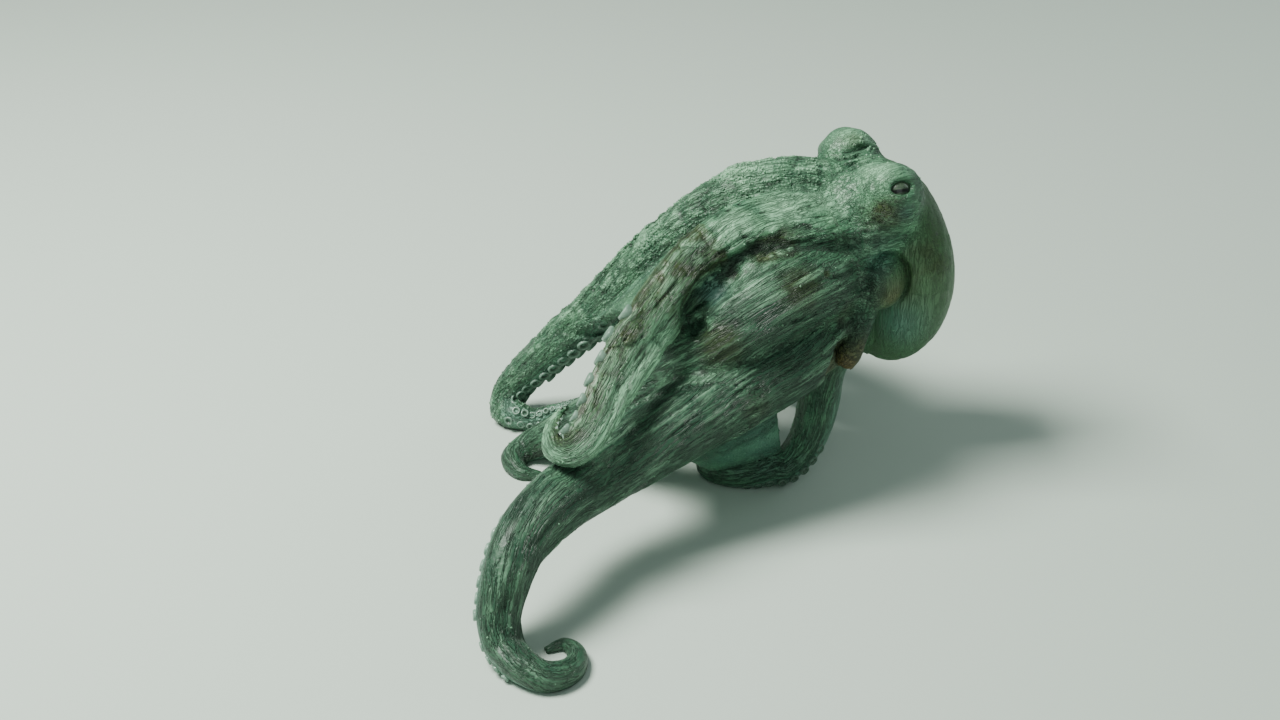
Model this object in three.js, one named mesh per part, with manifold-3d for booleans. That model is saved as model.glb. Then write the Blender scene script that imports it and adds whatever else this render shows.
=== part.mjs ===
// A common octopus on the move: head raised on its arms, mantle hanging behind, one arm striding ahead.
// Millimetres, +Z up. The animal faces -X, turned a little towards -Y; its left side is the -Y side.
import * as THREE from 'three';
import { mergeVertices } from 'three/addons/utils/BufferGeometryUtils.js';
import Module from 'manifold-3d';

const wasm = await Module();
wasm.setup();

// ---------- driving sizes ----------
const gap = 0.3; // clear space between pieces that touch
const headingAngle = THREE.MathUtils.degToRad( 30 ); // how far the head is turned from -X towards -Y
const armSides = 9;
const lengthNames = [ 'base', 'middle', 'tip' ]; // the lengths that each arm is divided into
const stepsPerLength = [ 7, 7, 10 ];
const cutShare = 0.0012; // the cut between two lengths, as a share of the arm
const armTipRadius = 2.5;
const oralFlatness = 0.85; // the sucker side is flatter than the back of an arm
const footPress = 1.2; // how far a resting arm is flattened by the floor
const arcSamples = 400; // how finely the length of an arm is measured
const webThickness = 5;

const skull = { at: [ 95, 145, 180 ], size: [ 35, 37, 31 ] }; // sizes: forward, sideways, up
const brow = { at: [ 101, 148, 194 ], size: [ 26, 40, 20 ] };
const crown = { at: [ 66, 137, 142 ], size: [ 37, 40, 50 ] };
const neck = { at: [ 114, 153, 176 ], size: [ 25, 33, 29 ] };
const eyeMounds = { left: [ 112, 125, 200 ], right: [ 89, 172, 204 ] };
const moundSize = [ 22, 20, 23 ];
const eyeRadius = 10;
const eyeRows = 7;
const blobRows = 9;
const eyeOffset = 10.8; // from the middle of a mound to the middle of its eyeball
const eyeLift = THREE.MathUtils.degToRad( 40 );
const eyeTurn = THREE.MathUtils.degToRad( 12 ); // how far the eyes look forward from straight sideways

const mantle = {
	at: [ 116, 153, 135 ], halfLength: 68, halfWidth: 43, halfDepth: 28,
	bow: 12, belly: 0.06, bluntness: 0.8
};
const mantleOpening = { at: [ 107, 110, 147 ], size: [ 10, 16, 23 ] };
const funnel = {
	route: [ [ 102, 121, 146 ], [ 98, 110, 127 ], [ 91, 99, 109 ], [ 83, 92, 90 ] ],
	rootRadius: 13, mouthRadius: 9.5, boreRadius: 5.5, boreDepth: 12
};

const skinColour = 0x8d8562;
const webColour = 0x7c775a;
const mantleColour = 0x857a58;
const funnelColour = 0xa8693a;
const eyeColour = 0x9a8f6c;

// Each arm runs from its root in the crown to its tip. `facing` says where the suckers look, in equal
// steps from root to tip. `hold` is how long the arm keeps its thickness before it tapers.
const arms = {
	left_1: {
		route: [ [ 80, 134, 178 ], [ 55, 115, 186 ], [ 19, 98, 185 ], [ - 9, 82, 174 ], [ - 33, 61, 157 ],
			[ - 53, 38, 139 ], [ - 68, 14, 124 ], [ - 78, - 7, 111 ], [ - 87, - 20, 103 ], [ - 96, - 22, 97 ],
			[ - 104, - 13, 95 ], [ - 107, 1, 98 ], [ - 102, 13, 103 ], [ - 92, 17, 108 ] ],
		facing: [ [ 0, 0.4, - 0.9 ], [ - 0.3, 0.6, - 0.7 ], [ - 0.6, 0.7, - 0.5 ],
			[ - 0.6, 0.5, - 0.7 ], [ 0.5, 0.5, 0.3 ] ],
		rootRadius: 18.5, hold: 3.2, width: 1.25, thickness: 0.62
	},
	right_1: {
		route: [ [ 80, 152, 188 ], [ 48, 149, 195 ], [ 18, 147, 190 ], [ - 11, 150, 170 ], [ - 43, 157, 138 ],
			[ - 75, 166, 98 ], [ - 103, 174, 67 ], [ - 126, 179, 42 ], [ - 142, 180, 24 ], [ - 149, 174, 11 ],
			[ - 144, 164, 6 ], [ - 128, 160, 7 ], [ - 110, 159, 14 ], [ - 94, 159, 22 ], [ - 80, 159, 28 ] ],
		facing: [ [ 0, - 0.2, - 1 ], [ 0.2, - 0.35, - 0.9 ], [ 0.45, - 0.35, - 0.8 ],
			[ 0.8, - 0.3, - 0.3 ], [ - 0.2, - 0.5, 0.8 ] ],
		rootRadius: 20.5, hold: 3.4, width: 1, thickness: 0.98
	},
	left_2: {
		route: [ [ 74, 122, 146 ], [ 52, 90, 153 ], [ 20, 71, 144 ], [ - 11, 72, 118 ], [ - 44, 84, 84 ],
			[ - 75, 100, 51 ], [ - 104, 116, 24 ], [ - 129, 122, 8 ], [ - 140, 111, 5 ], [ - 134, 97, 3 ],
			[ - 121, 95, 1 ] ],
		facing: [ [ - 0.1, 0.6, - 0.8 ], [ - 0.2, 0.6, - 0.75 ], [ - 0.2, 0.5, - 0.85 ],
			[ - 0.1, 0.1, - 1 ], [ 0, 0, - 1 ] ],
		rootRadius: 25, hold: 2.6, width: 1, thickness: 0.95
	},
	right_2: {
		route: [ [ 72, 156, 164 ], [ 45, 178, 155 ], [ 16, 195, 127 ], [ - 8, 210, 94 ], [ - 28, 222, 60 ],
			[ - 46, 232, 28 ], [ - 62, 237, 9 ], [ - 76, 234, 5 ], [ - 82, 223, 4 ], [ - 74, 212, 3 ],
			[ - 61, 214, 2 ], [ - 57, 225, 1 ] ],
		facing: [ [ 0, - 0.6, - 0.8 ], [ 0, - 0.6, - 0.8 ], [ 0, - 0.4, - 0.9 ],
			[ 0, - 0.1, - 1 ], [ 0, 0, - 1 ] ],
		rootRadius: 20, hold: 2, width: 1, thickness: 0.95
	},
	left_3: {
		route: [ [ 76, 128, 112 ], [ 51, 86, 106 ], [ 13, 60, 94 ], [ - 23, 38, 82 ], [ - 57, 18, 70 ],
			[ - 86, - 6, 64 ], [ - 108, - 36, 64 ], [ - 124, - 62, 58 ], [ - 133, - 79, 43 ], [ - 137, - 91, 25 ],
			[ - 133, - 104, 11 ], [ - 122, - 118, 7 ], [ - 107, - 126, 6 ], [ - 93, - 119, 5 ], [ - 89, - 103, 4 ],
			[ - 97, - 91, 3 ], [ - 108, - 95, 1 ] ],
		facing: [ [ - 0.2, 0.7, - 0.7 ], [ - 0.4, 0.6, - 0.7 ], [ - 0.85, 0.35, - 0.4 ],
			[ - 0.9, 0.1, - 0.45 ], [ - 0.1, 0.1, - 1 ] ],
		rootRadius: 25, hold: 2.6, width: 1, thickness: 0.95
	},
	right_3: {
		route: [ [ 72, 164, 140 ], [ 62, 200, 124 ], [ 51, 229, 93 ], [ 38, 252, 61 ], [ 24, 272, 31 ],
			[ 10, 290, 12 ], [ - 6, 303, 6 ], [ - 24, 311, 4 ], [ - 41, 306, 3 ], [ - 47, 293, 2 ],
			[ - 38, 284, 1 ] ],
		facing: [ [ - 0.1, - 0.7, - 0.7 ], [ - 0.2, - 0.7, - 0.7 ], [ - 0.1, - 0.3, - 0.95 ],
			[ 0, 0, - 1 ], [ 0, 0, - 1 ] ],
		rootRadius: 20, hold: 2, width: 1, thickness: 0.95
	},
	left_4: {
		route: [ [ 82, 140, 106 ], [ 80, 129, 87 ], [ 74, 118, 71 ], [ 72, 110, 54 ], [ 68, 103, 38 ],
			[ 60, 97, 22 ], [ 46, 91, 10 ], [ 28, 87, 8 ], [ 10, 88, 7 ], [ - 3, 97, 6 ],
			[ - 3, 112, 5 ], [ 8, 124, 4 ], [ 24, 124, 3 ], [ 33, 113, 2 ], [ 24, 106, 1 ] ],
		facing: [ [ 0.6, 0.3, - 0.7 ], [ 1, - 0.1, 0 ], [ 0.8, - 0.2, - 0.5 ],
			[ 0.1, - 0.1, - 1 ], [ 0, 0, - 1 ] ],
		rootRadius: 17.5, hold: 1.9, width: 0.95, thickness: 0.95
	},
	right_4: {
		route: [ [ 76, 156, 108 ], [ 74, 168, 84 ], [ 68, 178, 60 ], [ 62, 188, 37 ], [ 57, 200, 18 ],
			[ 50, 214, 8 ], [ 38, 227, 5 ], [ 22, 238, 4 ], [ 5, 246, 3 ], [ - 12, 248, 2 ],
			[ - 24, 241, 1 ] ],
		facing: [ [ - 0.2, - 0.5, - 0.8 ], [ 0.9, 0.2, - 0.2 ], [ 0.6, 0.2, - 0.8 ],
			[ 0, 0, - 1 ], [ 0, 0, - 1 ] ],
		rootRadius: 17.5, hold: 1.9, width: 0.95, thickness: 0.95
	}
};

// A web joins two neighbouring arms between these shares of their lengths, with a hollowed free edge.
const webs = {
	web_dorsal: { from: 'left_1', to: 'right_1', start: [ 0.02, 0.02 ], end: [ 0.62, 0.6 ], hollow: 0.1 },
	web_left_1_2: { from: 'left_1', to: 'left_2', start: [ 0.02, 0.02 ], end: [ 0.3, 0.28 ], hollow: 0.12 },
	web_left_2_3: { from: 'left_2', to: 'left_3', start: [ 0.2, 0.12 ], end: [ 0.68, 0.46 ], hollow: 0.16 },
	web_left_3_4: { from: 'left_3', to: 'left_4', start: [ 0.02, 0.02 ], end: [ 0.14, 0.2 ], hollow: 0.1 },
	web_left_lower: { from: 'left_3', to: 'left_4', start: [ 0.16, 0.48 ], end: [ 0.37, 0.66 ], hollow: 0 },
	web_right_1_2: { from: 'right_1', to: 'right_2', start: [ 0.02, 0.02 ], end: [ 0.42, 0.42 ], hollow: 0.3 },
	web_right_2_3: { from: 'right_2', to: 'right_3', start: [ 0.02, 0.02 ], end: [ 0.36, 0.36 ], hollow: 0.3 },
	web_right_3_4: { from: 'right_3', to: 'right_4', start: [ 0.02, 0.02 ], end: [ 0.32, 0.26 ], hollow: 0.3 },
	web_ventral: { from: 'left_4', to: 'right_4', start: [ 0.02, 0.02 ], end: [ 0.16, 0.2 ], hollow: 0.2 }
};

// ---------- directions of the head ----------
const up = new THREE.Vector3( 0, 0, 1 );
const forward = new THREE.Vector3( - Math.cos( headingAngle ), - Math.sin( headingAngle ), 0 );
const leftward = new THREE.Vector3( Math.sin( headingAngle ), - Math.cos( headingAngle ), 0 );

const vector = ( [ x, y, z ] ) => new THREE.Vector3( x, y, z );

// ---------- between geometry and solid ----------
function signedVolume( position, index ) {

	const a = new THREE.Vector3(), b = new THREE.Vector3(), c = new THREE.Vector3();
	let sum = 0;
	for ( let i = 0; i < index.length; i += 3 ) {

		a.fromArray( position, index[ i ] * 3 );
		b.fromArray( position, index[ i + 1 ] * 3 );
		c.fromArray( position, index[ i + 2 ] * 3 );
		sum += a.dot( b.cross( c ) ) / 6;

	}

	return sum;

}

function solidOf( geometry ) {

	geometry.deleteAttribute( 'normal' );
	geometry.deleteAttribute( 'uv' );
	const merged = mergeVertices( geometry, 1e-3 );
	const vertProperties = Float32Array.from( merged.attributes.position.array );
	const triVerts = Uint32Array.from( merged.index.array );
	if ( signedVolume( vertProperties, triVerts ) < 0 ) triVerts.reverse();
	return new wasm.Manifold( new wasm.Mesh( { numProp: 3, vertProperties, triVerts } ) );

}

function geometryOf( solid ) {

	const mesh = solid.getMesh();
	const geometry = new THREE.BufferGeometry();
	geometry.setAttribute( 'position', new THREE.BufferAttribute( Float32Array.from( mesh.vertProperties ), 3 ) );
	geometry.setIndex( Array.from( mesh.triVerts ) );
	geometry.computeVertexNormals();
	return geometry;

}

// Moves every point of a ready-made geometry to where `place` puts it.
function reshape( geometry, place ) {

	const position = geometry.attributes.position;
	const point = new THREE.Vector3();
	for ( let i = 0; i < position.count; i ++ ) {

		const moved = place( point.fromBufferAttribute( position, i ) );
		position.setXYZ( i, moved.x, moved.y, moved.z );

	}

	return geometry;

}

// A cut can leave crumbs; a piece keeps only its largest body.
function largestBody( solid ) {

	const bodies = solid.decompose();
	return bodies.reduce( ( best, body ) => body.volume() > best.volume() ? body : best );

}

// ---------- arms ----------
function makeArm( { route, facing, rootRadius, hold, width, thickness } ) {

	const curve = new THREE.CatmullRomCurve3( route.map( vector ), false, 'catmullrom', 0.5 );
	curve.arcLengthDivisions = arcSamples;

	const facingAt = ( s ) => {

		const place = s * ( facing.length - 1 );
		const key = Math.min( Math.floor( place ), facing.length - 2 );
		return vector( facing[ key ] ).lerp( vector( facing[ key + 1 ] ), place - key );

	};

	// The centre, two cross directions and half sizes of the arm at share s of its length.
	return ( s ) => {

		const middle = curve.getPointAt( s );
		const along = curve.getTangentAt( s );
		const oral = facingAt( s );
		oral.addScaledVector( along, - oral.dot( along ) ).normalize();
		const across = new THREE.Vector3().crossVectors( along, oral );
		const radius = armTipRadius + ( rootRadius - armTipRadius ) * ( 1 - s ** hold );
		const halfWidth = radius * width;
		const halfThickness = radius * thickness;
		const lowerSide = oral.z < 0 ? oralFlatness : 1;
		const reachDown = Math.hypot( across.z * halfWidth, oral.z * halfThickness * lowerSide );
		middle.z = Math.max( middle.z, reachDown - footPress ); // a low stretch lies on the floor
		return { middle, along, oral, across, halfWidth, halfThickness };

	};

}

function armLength( section, from, to, steps, grow ) {

	const tube = new THREE.CylinderGeometry( 1, 1, 1, armSides, steps );
	return solidOf( reshape( tube, ( point ) => {

		const share = point.y + 0.5;
		const place = section( THREE.MathUtils.lerp( from, to, share ) );
		const { middle, along, oral, across, halfWidth, halfThickness } = place;
		const end = share === 0 ? - grow : share === 1 ? grow : 0;
		const flat = point.z > 0 ? oralFlatness : 1;
		return middle.clone()
			.addScaledVector( across, point.x * ( halfWidth + grow ) )
			.addScaledVector( oral, point.z * ( halfThickness * flat + grow ) )
			.addScaledVector( along, end );

	} ) );

}

// ---------- webs ----------
function webSheet( { from, to, start, end, hollow }, grow ) {

	const stepsAcross = 5;
	const stepsAlong = 6;
	const thickness = webThickness + 2 * grow;
	const middleOf = ( across, along ) => {

		const reach = along * ( 1 - hollow * Math.sin( Math.PI * across ) );
		const a = sections[ from ]( THREE.MathUtils.lerp( start[ 0 ], end[ 0 ], reach ) ).middle;
		const b = sections[ to ]( THREE.MathUtils.lerp( start[ 1 ], end[ 1 ], reach ) ).middle;
		return a.lerp( b, across );

	};

	const small = 0.02; // the step over which the slope of the sheet is taken
	const sheet = new THREE.BoxGeometry( 1, 1, 1, stepsAcross, stepsAlong, 1 );
	return solidOf( reshape( sheet, ( point ) => {

		const across = point.x + 0.5;
		const along = point.y + 0.5;
		const middle = middleOf( across, along );
		const sideways = middleOf( Math.min( across + small, 1 ), along );
		sideways.sub( middleOf( Math.max( across - small, 0 ), along ) );
		const onward = middleOf( across, Math.min( along + small, 1 ) );
		onward.sub( middleOf( across, Math.max( along - small, 0 ) ) );
		const normal = sideways.cross( onward ).normalize();
		return middle.addScaledVector( normal, point.z * thickness );

	} ) );

}

// ---------- head, crown, mantle, funnel ----------
function blob( { at, size }, grow = 0, rows = blobRows ) {

	const ball = new THREE.SphereGeometry( 1, rows + 4, rows );
	return solidOf( reshape( ball, ( point ) => vector( at )
		.addScaledVector( forward, point.x * ( size[ 0 ] + grow ) )
		.addScaledVector( leftward, point.z * ( size[ 1 ] + grow ) )
		.addScaledVector( up, point.y * ( size[ 2 ] + grow ) ) ) );

}

function eyeDirection( side ) {

	const outward = leftward.clone().multiplyScalar( side === 'left' ? Math.cos( eyeTurn ) : - Math.cos( eyeTurn ) );
	outward.addScaledVector( forward, Math.sin( eyeTurn ) );
	return outward.multiplyScalar( Math.cos( eyeLift ) ).addScaledVector( up, Math.sin( eyeLift ) );

}

function eyeball( side, grow = 0 ) {

	const middle = vector( eyeMounds[ side ] ).addScaledVector( eyeDirection( side ), eyeOffset );
	return blob( { at: middle.toArray(), size: [ eyeRadius, eyeRadius, eyeRadius ] }, grow, eyeRows );

}

function headShape( grow ) {

	const mound = ( side ) => blob( { at: eyeMounds[ side ], size: moundSize }, grow );
	return blob( skull, grow ).add( blob( brow, grow ) ).add( mound( 'left' ) ).add( mound( 'right' ) );

}

function mantleShape( grow ) {

	const bag = new THREE.SphereGeometry( 1, 16, 13 );
	const body = solidOf( reshape( bag, ( point ) => {

		const round = Math.hypot( point.x, point.z );
		const full = round > 0 ? round ** mantle.bluntness / round : 0; // blunt ends, like a filled bag
		const swell = 1 - mantle.belly * point.y;
		return vector( mantle.at )
			.addScaledVector( forward, point.x * full * swell * ( mantle.halfDepth + grow ) )
			.addScaledVector( leftward, point.z * full * swell * ( mantle.halfWidth + grow ) )
			.addScaledVector( up, point.y * ( mantle.halfLength + grow ) )
			.add( new THREE.Vector3( mantle.bow * ( 1 - point.y ** 2 ), 0, 0 ) );

	} ) );
	return body.add( blob( neck, grow ) );

}

function funnelTube( grow ) {

	const curve = new THREE.CatmullRomCurve3( funnel.route.map( vector ) );
	const tube = new THREE.CylinderGeometry( 1, 1, 1, 14, 8 );
	return solidOf( reshape( tube, ( point ) => {

		const share = point.y + 0.5;
		const along = curve.getTangentAt( share );
		const side = new THREE.Vector3().crossVectors( along, leftward ).normalize();
		const other = new THREE.Vector3().crossVectors( along, side );
		const radius = THREE.MathUtils.lerp( funnel.rootRadius, funnel.mouthRadius, share ) + grow;
		return curve.getPointAt( share )
			.addScaledVector( side, point.x * radius )
			.addScaledVector( other, point.z * radius );

	} ) );

}

function funnelBore() {

	const mouth = vector( funnel.route.at( - 1 ) );
	const inward = vector( funnel.route.at( - 2 ) ).sub( mouth ).normalize();
	const drill = new THREE.CylinderGeometry( funnel.boreRadius, funnel.boreRadius, funnel.boreDepth * 2, 14 );
	drill.applyQuaternion( new THREE.Quaternion().setFromUnitVectors( new THREE.Vector3( 0, 1, 0 ), inward ) );
	drill.translate( mouth.x, mouth.y, mouth.z );
	return solidOf( drill );

}

// ---------- putting the animal together ----------
const sections = {};
for ( const name in arms ) sections[ name ] = makeArm( arms[ name ] );
const octopus = new THREE.Group();
octopus.name = 'octopus';

const floorSize = 900;
const floorDepth = 60;
const floorSlab = new THREE.BoxGeometry( floorSize, floorSize, floorDepth ).translate( 0, 0, - floorDepth / 2 );
const belowFloor = solidOf( floorSlab );

function addPiece( name, solid, color, roughness ) {

	const material = new THREE.MeshStandardMaterial( { color, roughness, metalness: 0 } );
	const mesh = new THREE.Mesh( geometryOf( largestBody( solid ) ), material );
	mesh.name = name;
	octopus.add( mesh );

}

// Later pieces are cut back, with the gap, from the pieces before them.
const eyesGrown = eyeball( 'left', gap ).add( eyeball( 'right', gap ) );
addPiece( 'eye_left', eyeball( 'left' ), eyeColour, 0.15 );
addPiece( 'eye_right', eyeball( 'right' ), eyeColour, 0.15 );
addPiece( 'head', headShape( 0 ).subtract( eyesGrown ), skinColour, 0.6 );

let taken = headShape( gap ).add( eyesGrown );
addPiece( 'crown', blob( crown ).subtract( taken ), skinColour, 0.6 );

taken = taken.add( blob( crown, gap ) );
addPiece( 'funnel', funnelTube( 0 ).subtract( funnelBore() ).subtract( taken ), funnelColour, 0.5 );

taken = taken.add( funnelTube( gap ) );
addPiece( 'mantle', mantleShape( 0 ).subtract( blob( mantleOpening ) ).subtract( taken ), mantleColour, 0.6 );

taken = taken.add( mantleShape( gap ) );
for ( const [ name, section ] of Object.entries( sections ) ) {

	const share = 1 / lengthNames.length;
	lengthNames.forEach( ( length, i ) => {

		const from = i === 0 ? 0 : i * share + cutShare;
		const piece = armLength( section, from, ( i + 1 ) * share, stepsPerLength[ i ], 0 );
		addPiece( `arm_${ name }_${ length }`, piece.subtract( taken ).subtract( belowFloor ), skinColour, 0.6 );

	} );
	lengthNames.forEach( ( length, i ) => {

		taken = taken.add( armLength( section, i * share, ( i + 1 ) * share, stepsPerLength[ i ], gap ) );

	} );

}

for ( const [ name, web ] of Object.entries( webs ) ) {

	addPiece( name, webSheet( web, 0 ).subtract( taken ).subtract( belowFloor ), webColour, 0.6 );
	taken = taken.add( webSheet( web, gap ) );

}

// The origin is the middle of the footprint, on the floor.
const box = new THREE.Box3().setFromObject( octopus );
const centre = box.getCenter( new THREE.Vector3() );
octopus.position.set( - centre.x, - centre.y, - box.min.z );
octopus.updateMatrixWorld( true );

export default octopus;
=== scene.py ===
import math
import bpy
import numpy as np
import openvdb
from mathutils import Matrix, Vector


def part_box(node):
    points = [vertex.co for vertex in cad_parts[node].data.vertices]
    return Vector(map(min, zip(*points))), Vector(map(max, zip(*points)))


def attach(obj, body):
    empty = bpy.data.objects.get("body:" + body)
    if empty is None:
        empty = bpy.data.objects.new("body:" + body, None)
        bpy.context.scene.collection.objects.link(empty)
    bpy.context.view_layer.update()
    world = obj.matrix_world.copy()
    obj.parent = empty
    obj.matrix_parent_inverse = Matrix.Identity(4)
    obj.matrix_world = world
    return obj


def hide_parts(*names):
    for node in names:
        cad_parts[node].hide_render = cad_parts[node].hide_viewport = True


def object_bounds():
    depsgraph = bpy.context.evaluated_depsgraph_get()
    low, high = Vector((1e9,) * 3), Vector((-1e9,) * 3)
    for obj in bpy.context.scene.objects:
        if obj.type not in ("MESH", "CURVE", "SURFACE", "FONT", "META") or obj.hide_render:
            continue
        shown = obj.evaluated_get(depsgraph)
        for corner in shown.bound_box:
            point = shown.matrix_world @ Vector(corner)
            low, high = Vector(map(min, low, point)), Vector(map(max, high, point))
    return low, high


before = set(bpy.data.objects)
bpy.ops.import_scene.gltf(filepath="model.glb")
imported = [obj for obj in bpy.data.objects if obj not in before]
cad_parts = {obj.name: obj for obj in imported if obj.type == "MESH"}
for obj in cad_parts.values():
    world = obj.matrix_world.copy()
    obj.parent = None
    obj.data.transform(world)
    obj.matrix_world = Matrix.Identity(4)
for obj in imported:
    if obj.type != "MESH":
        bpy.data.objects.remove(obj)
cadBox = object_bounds()

mm = 0.001
rng = np.random.default_rng(11)

# The animal is laid out in millimetres in its own axes. The frame's zero lies elsewhere, so the whole
# layout is shifted until the left eye meets the left eyeball of the frame.
head = {
    "heading": 30.0,
    "eyeLift": 40.0,
    "eyeTurn": 12.0,
    "eyeRadius": 10.0,
    "eyeOffset": 10.8,
    "mounds": {"left": (112, 125, 200), "right": (89, 172, 204)},
    "moundSize": (21, 19, 22),
}


def unit(v):
    v = np.asarray(v, float)
    return v / np.maximum(np.linalg.norm(v, axis=-1, keepdims=True), 1e-9)


turn = math.radians(head["heading"])
forward = np.array([-math.cos(turn), -math.sin(turn), 0.0])
leftward = np.array([math.sin(turn), -math.cos(turn), 0.0])
upward = np.array([0.0, 0.0, 1.0])


def eyeLook(side):
    lift = math.radians(head["eyeLift"])
    ahead = math.radians(head["eyeTurn"])
    outward = leftward * math.cos(ahead) * (1 if side == "left" else -1) + forward * math.sin(ahead)
    return outward * math.cos(lift) + upward * math.sin(lift)


def eyeCentre(side):
    return np.array(head["mounds"][side], float) + eyeLook(side) * head["eyeOffset"]


low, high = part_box("eye_left")
shift = np.array((low + high) / 2) / mm - eyeCentre("left")


# Routes run from the crown to the tip. Facing is where the suckers look, read evenly along the route.
# Radius is at the root. A larger hold keeps the arm thick for longer, and an edge below 1 squares it.
armShape = {"tipRadius": 2.0, "oralFlatness": 0.85, "footPress": 1.2}
arms = {
    "left1": {
        "route": [(80, 134, 178), (55, 115, 186), (19, 98, 185), (-9, 82, 174), (-33, 61, 157),
                  (-53, 38, 139), (-68, 14, 124), (-78, -7, 111), (-87, -20, 103), (-96, -22, 97),
                  (-104, -13, 95), (-107, 1, 98), (-102, 13, 103), (-92, 17, 108)],
        "facing": [(0, .4, -.9), (-.3, .6, -.7), (-.6, .7, -.5), (-.6, .5, -.7), (.5, .5, .3)],
        "radius": 18.5, "hold": 3.2, "width": 1.25, "thickness": 0.62, "edge": 0.8},
    "right1": {
        "route": [(80, 152, 188), (48, 149, 195), (18, 147, 190), (-11, 150, 170), (-43, 157, 138),
                  (-75, 166, 98), (-103, 174, 67), (-126, 179, 42), (-142, 180, 24),
                  (-149, 174, 11), (-144, 164, 6), (-128, 160, 7), (-110, 159, 14), (-94, 159, 22),
                  (-80, 159, 28)],
        "facing": [(0, -.2, -1), (.2, -.35, -.9), (.65, -.6, -.5), (.8, -.5, -.2), (-.2, -.5, .8)],
        "radius": 20.5, "hold": 3.4, "width": 1.0, "thickness": 0.98},
    "left2": {
        "route": [(74, 122, 146), (52, 90, 153), (20, 71, 144), (-11, 72, 118), (-44, 84, 84),
                  (-75, 100, 51), (-104, 116, 24), (-129, 122, 8), (-140, 111, 5), (-134, 97, 3),
                  (-121, 95, 1)],
        "facing": [(-.1, .6, -.8), (-.2, .6, -.75), (-.2, .5, -.85), (-.1, .1, -1), (0, 0, -1)],
        "radius": 25, "hold": 2.6, "width": 1.0, "thickness": 0.95},
    "right2": {
        "route": [(72, 156, 164), (45, 178, 155), (16, 195, 127), (-8, 210, 94), (-28, 222, 60),
                  (-46, 232, 28), (-62, 237, 9), (-76, 234, 5), (-82, 223, 4), (-74, 212, 3),
                  (-61, 214, 2), (-57, 225, 1)],
        "facing": [(0, -.6, -.8), (0, -.6, -.8), (0, -.4, -.9), (0, -.1, -1), (0, 0, -1)],
        "radius": 20, "hold": 2.0, "width": 1.0, "thickness": 0.95},
    "left3": {
        "route": [(76, 128, 112), (51, 86, 106), (13, 60, 94), (-23, 38, 82), (-57, 18, 70),
                  (-86, -6, 64), (-108, -36, 64), (-124, -62, 58), (-133, -79, 43), (-137, -91, 25),
                  (-133, -104, 11), (-122, -118, 7), (-107, -126, 6), (-93, -119, 5),
                  (-89, -103, 4), (-97, -91, 3), (-108, -95, 1)],
        "facing": [(-.2, .7, -.7), (-.4, .6, -.7), (-.85, .35, -.4), (-.9, .1, -.45),
                   (-.1, .1, -1)],
        "radius": 25, "hold": 2.6, "width": 1.0, "thickness": 0.95},
    "right3": {
        "route": [(72, 164, 140), (62, 200, 124), (51, 229, 93), (38, 252, 61), (24, 272, 31),
                  (10, 290, 12), (-6, 303, 6), (-24, 311, 4), (-41, 306, 3), (-47, 293, 2),
                  (-38, 284, 1)],
        "facing": [(-.1, -.7, -.7), (-.2, -.7, -.7), (-.1, -.3, -.95), (0, 0, -1), (0, 0, -1)],
        "radius": 20, "hold": 2.0, "width": 1.0, "thickness": 0.95},
    "left4": {
        "route": [(82, 140, 106), (80, 129, 87), (74, 118, 71), (72, 110, 54), (68, 103, 38),
                  (60, 97, 22), (46, 91, 10), (28, 87, 8), (10, 88, 7), (-3, 97, 6), (-3, 112, 5),
                  (8, 124, 4), (24, 124, 3), (33, 113, 2), (24, 106, 1)],
        "facing": [(.6, .3, -.7), (1, -.1, 0), (.8, -.2, -.5), (.1, -.1, -1), (0, 0, -1)],
        "radius": 17.5, "hold": 1.9, "width": 0.95, "thickness": 0.95},
    "right4": {
        "route": [(76, 156, 108), (74, 168, 84), (68, 178, 60), (62, 188, 37), (57, 200, 18),
                  (50, 214, 8), (38, 227, 5), (22, 238, 4), (5, 246, 3), (-12, 248, 2),
                  (-24, 241, 1)],
        "facing": [(-.2, -.5, -.8), (.9, .2, -.2), (.6, .2, -.8), (0, 0, -1), (0, 0, -1)],
        "radius": 17.5, "hold": 1.9, "width": 0.95, "thickness": 0.95},
}


def catmullRom(points, steps):
    p = np.asarray(points, float)
    p = np.vstack([2 * p[0] - p[1], p, 2 * p[-1] - p[-2]])
    t = np.linspace(0, 1, steps, endpoint=False)[:, None]
    rows = []
    for a, b, c, d in zip(p, p[1:], p[2:], p[3:]):
        rows.append(0.5 * (2 * b + (c - a) * t + (2 * a - 5 * b + 4 * c - d) * t**2
                           + (3 * b - a - 3 * c + d) * t**3))
    return np.vstack(rows + [p[-2:-1]])


def blendRows(rows, at):
    rows = np.asarray(rows, float)
    place = np.clip(at, 0, 1) * (len(rows) - 1)
    key = np.minimum(place.astype(int), len(rows) - 2)
    part = (place - key)[:, None]
    return rows[key] * (1 - part) + rows[key + 1] * part


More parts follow.
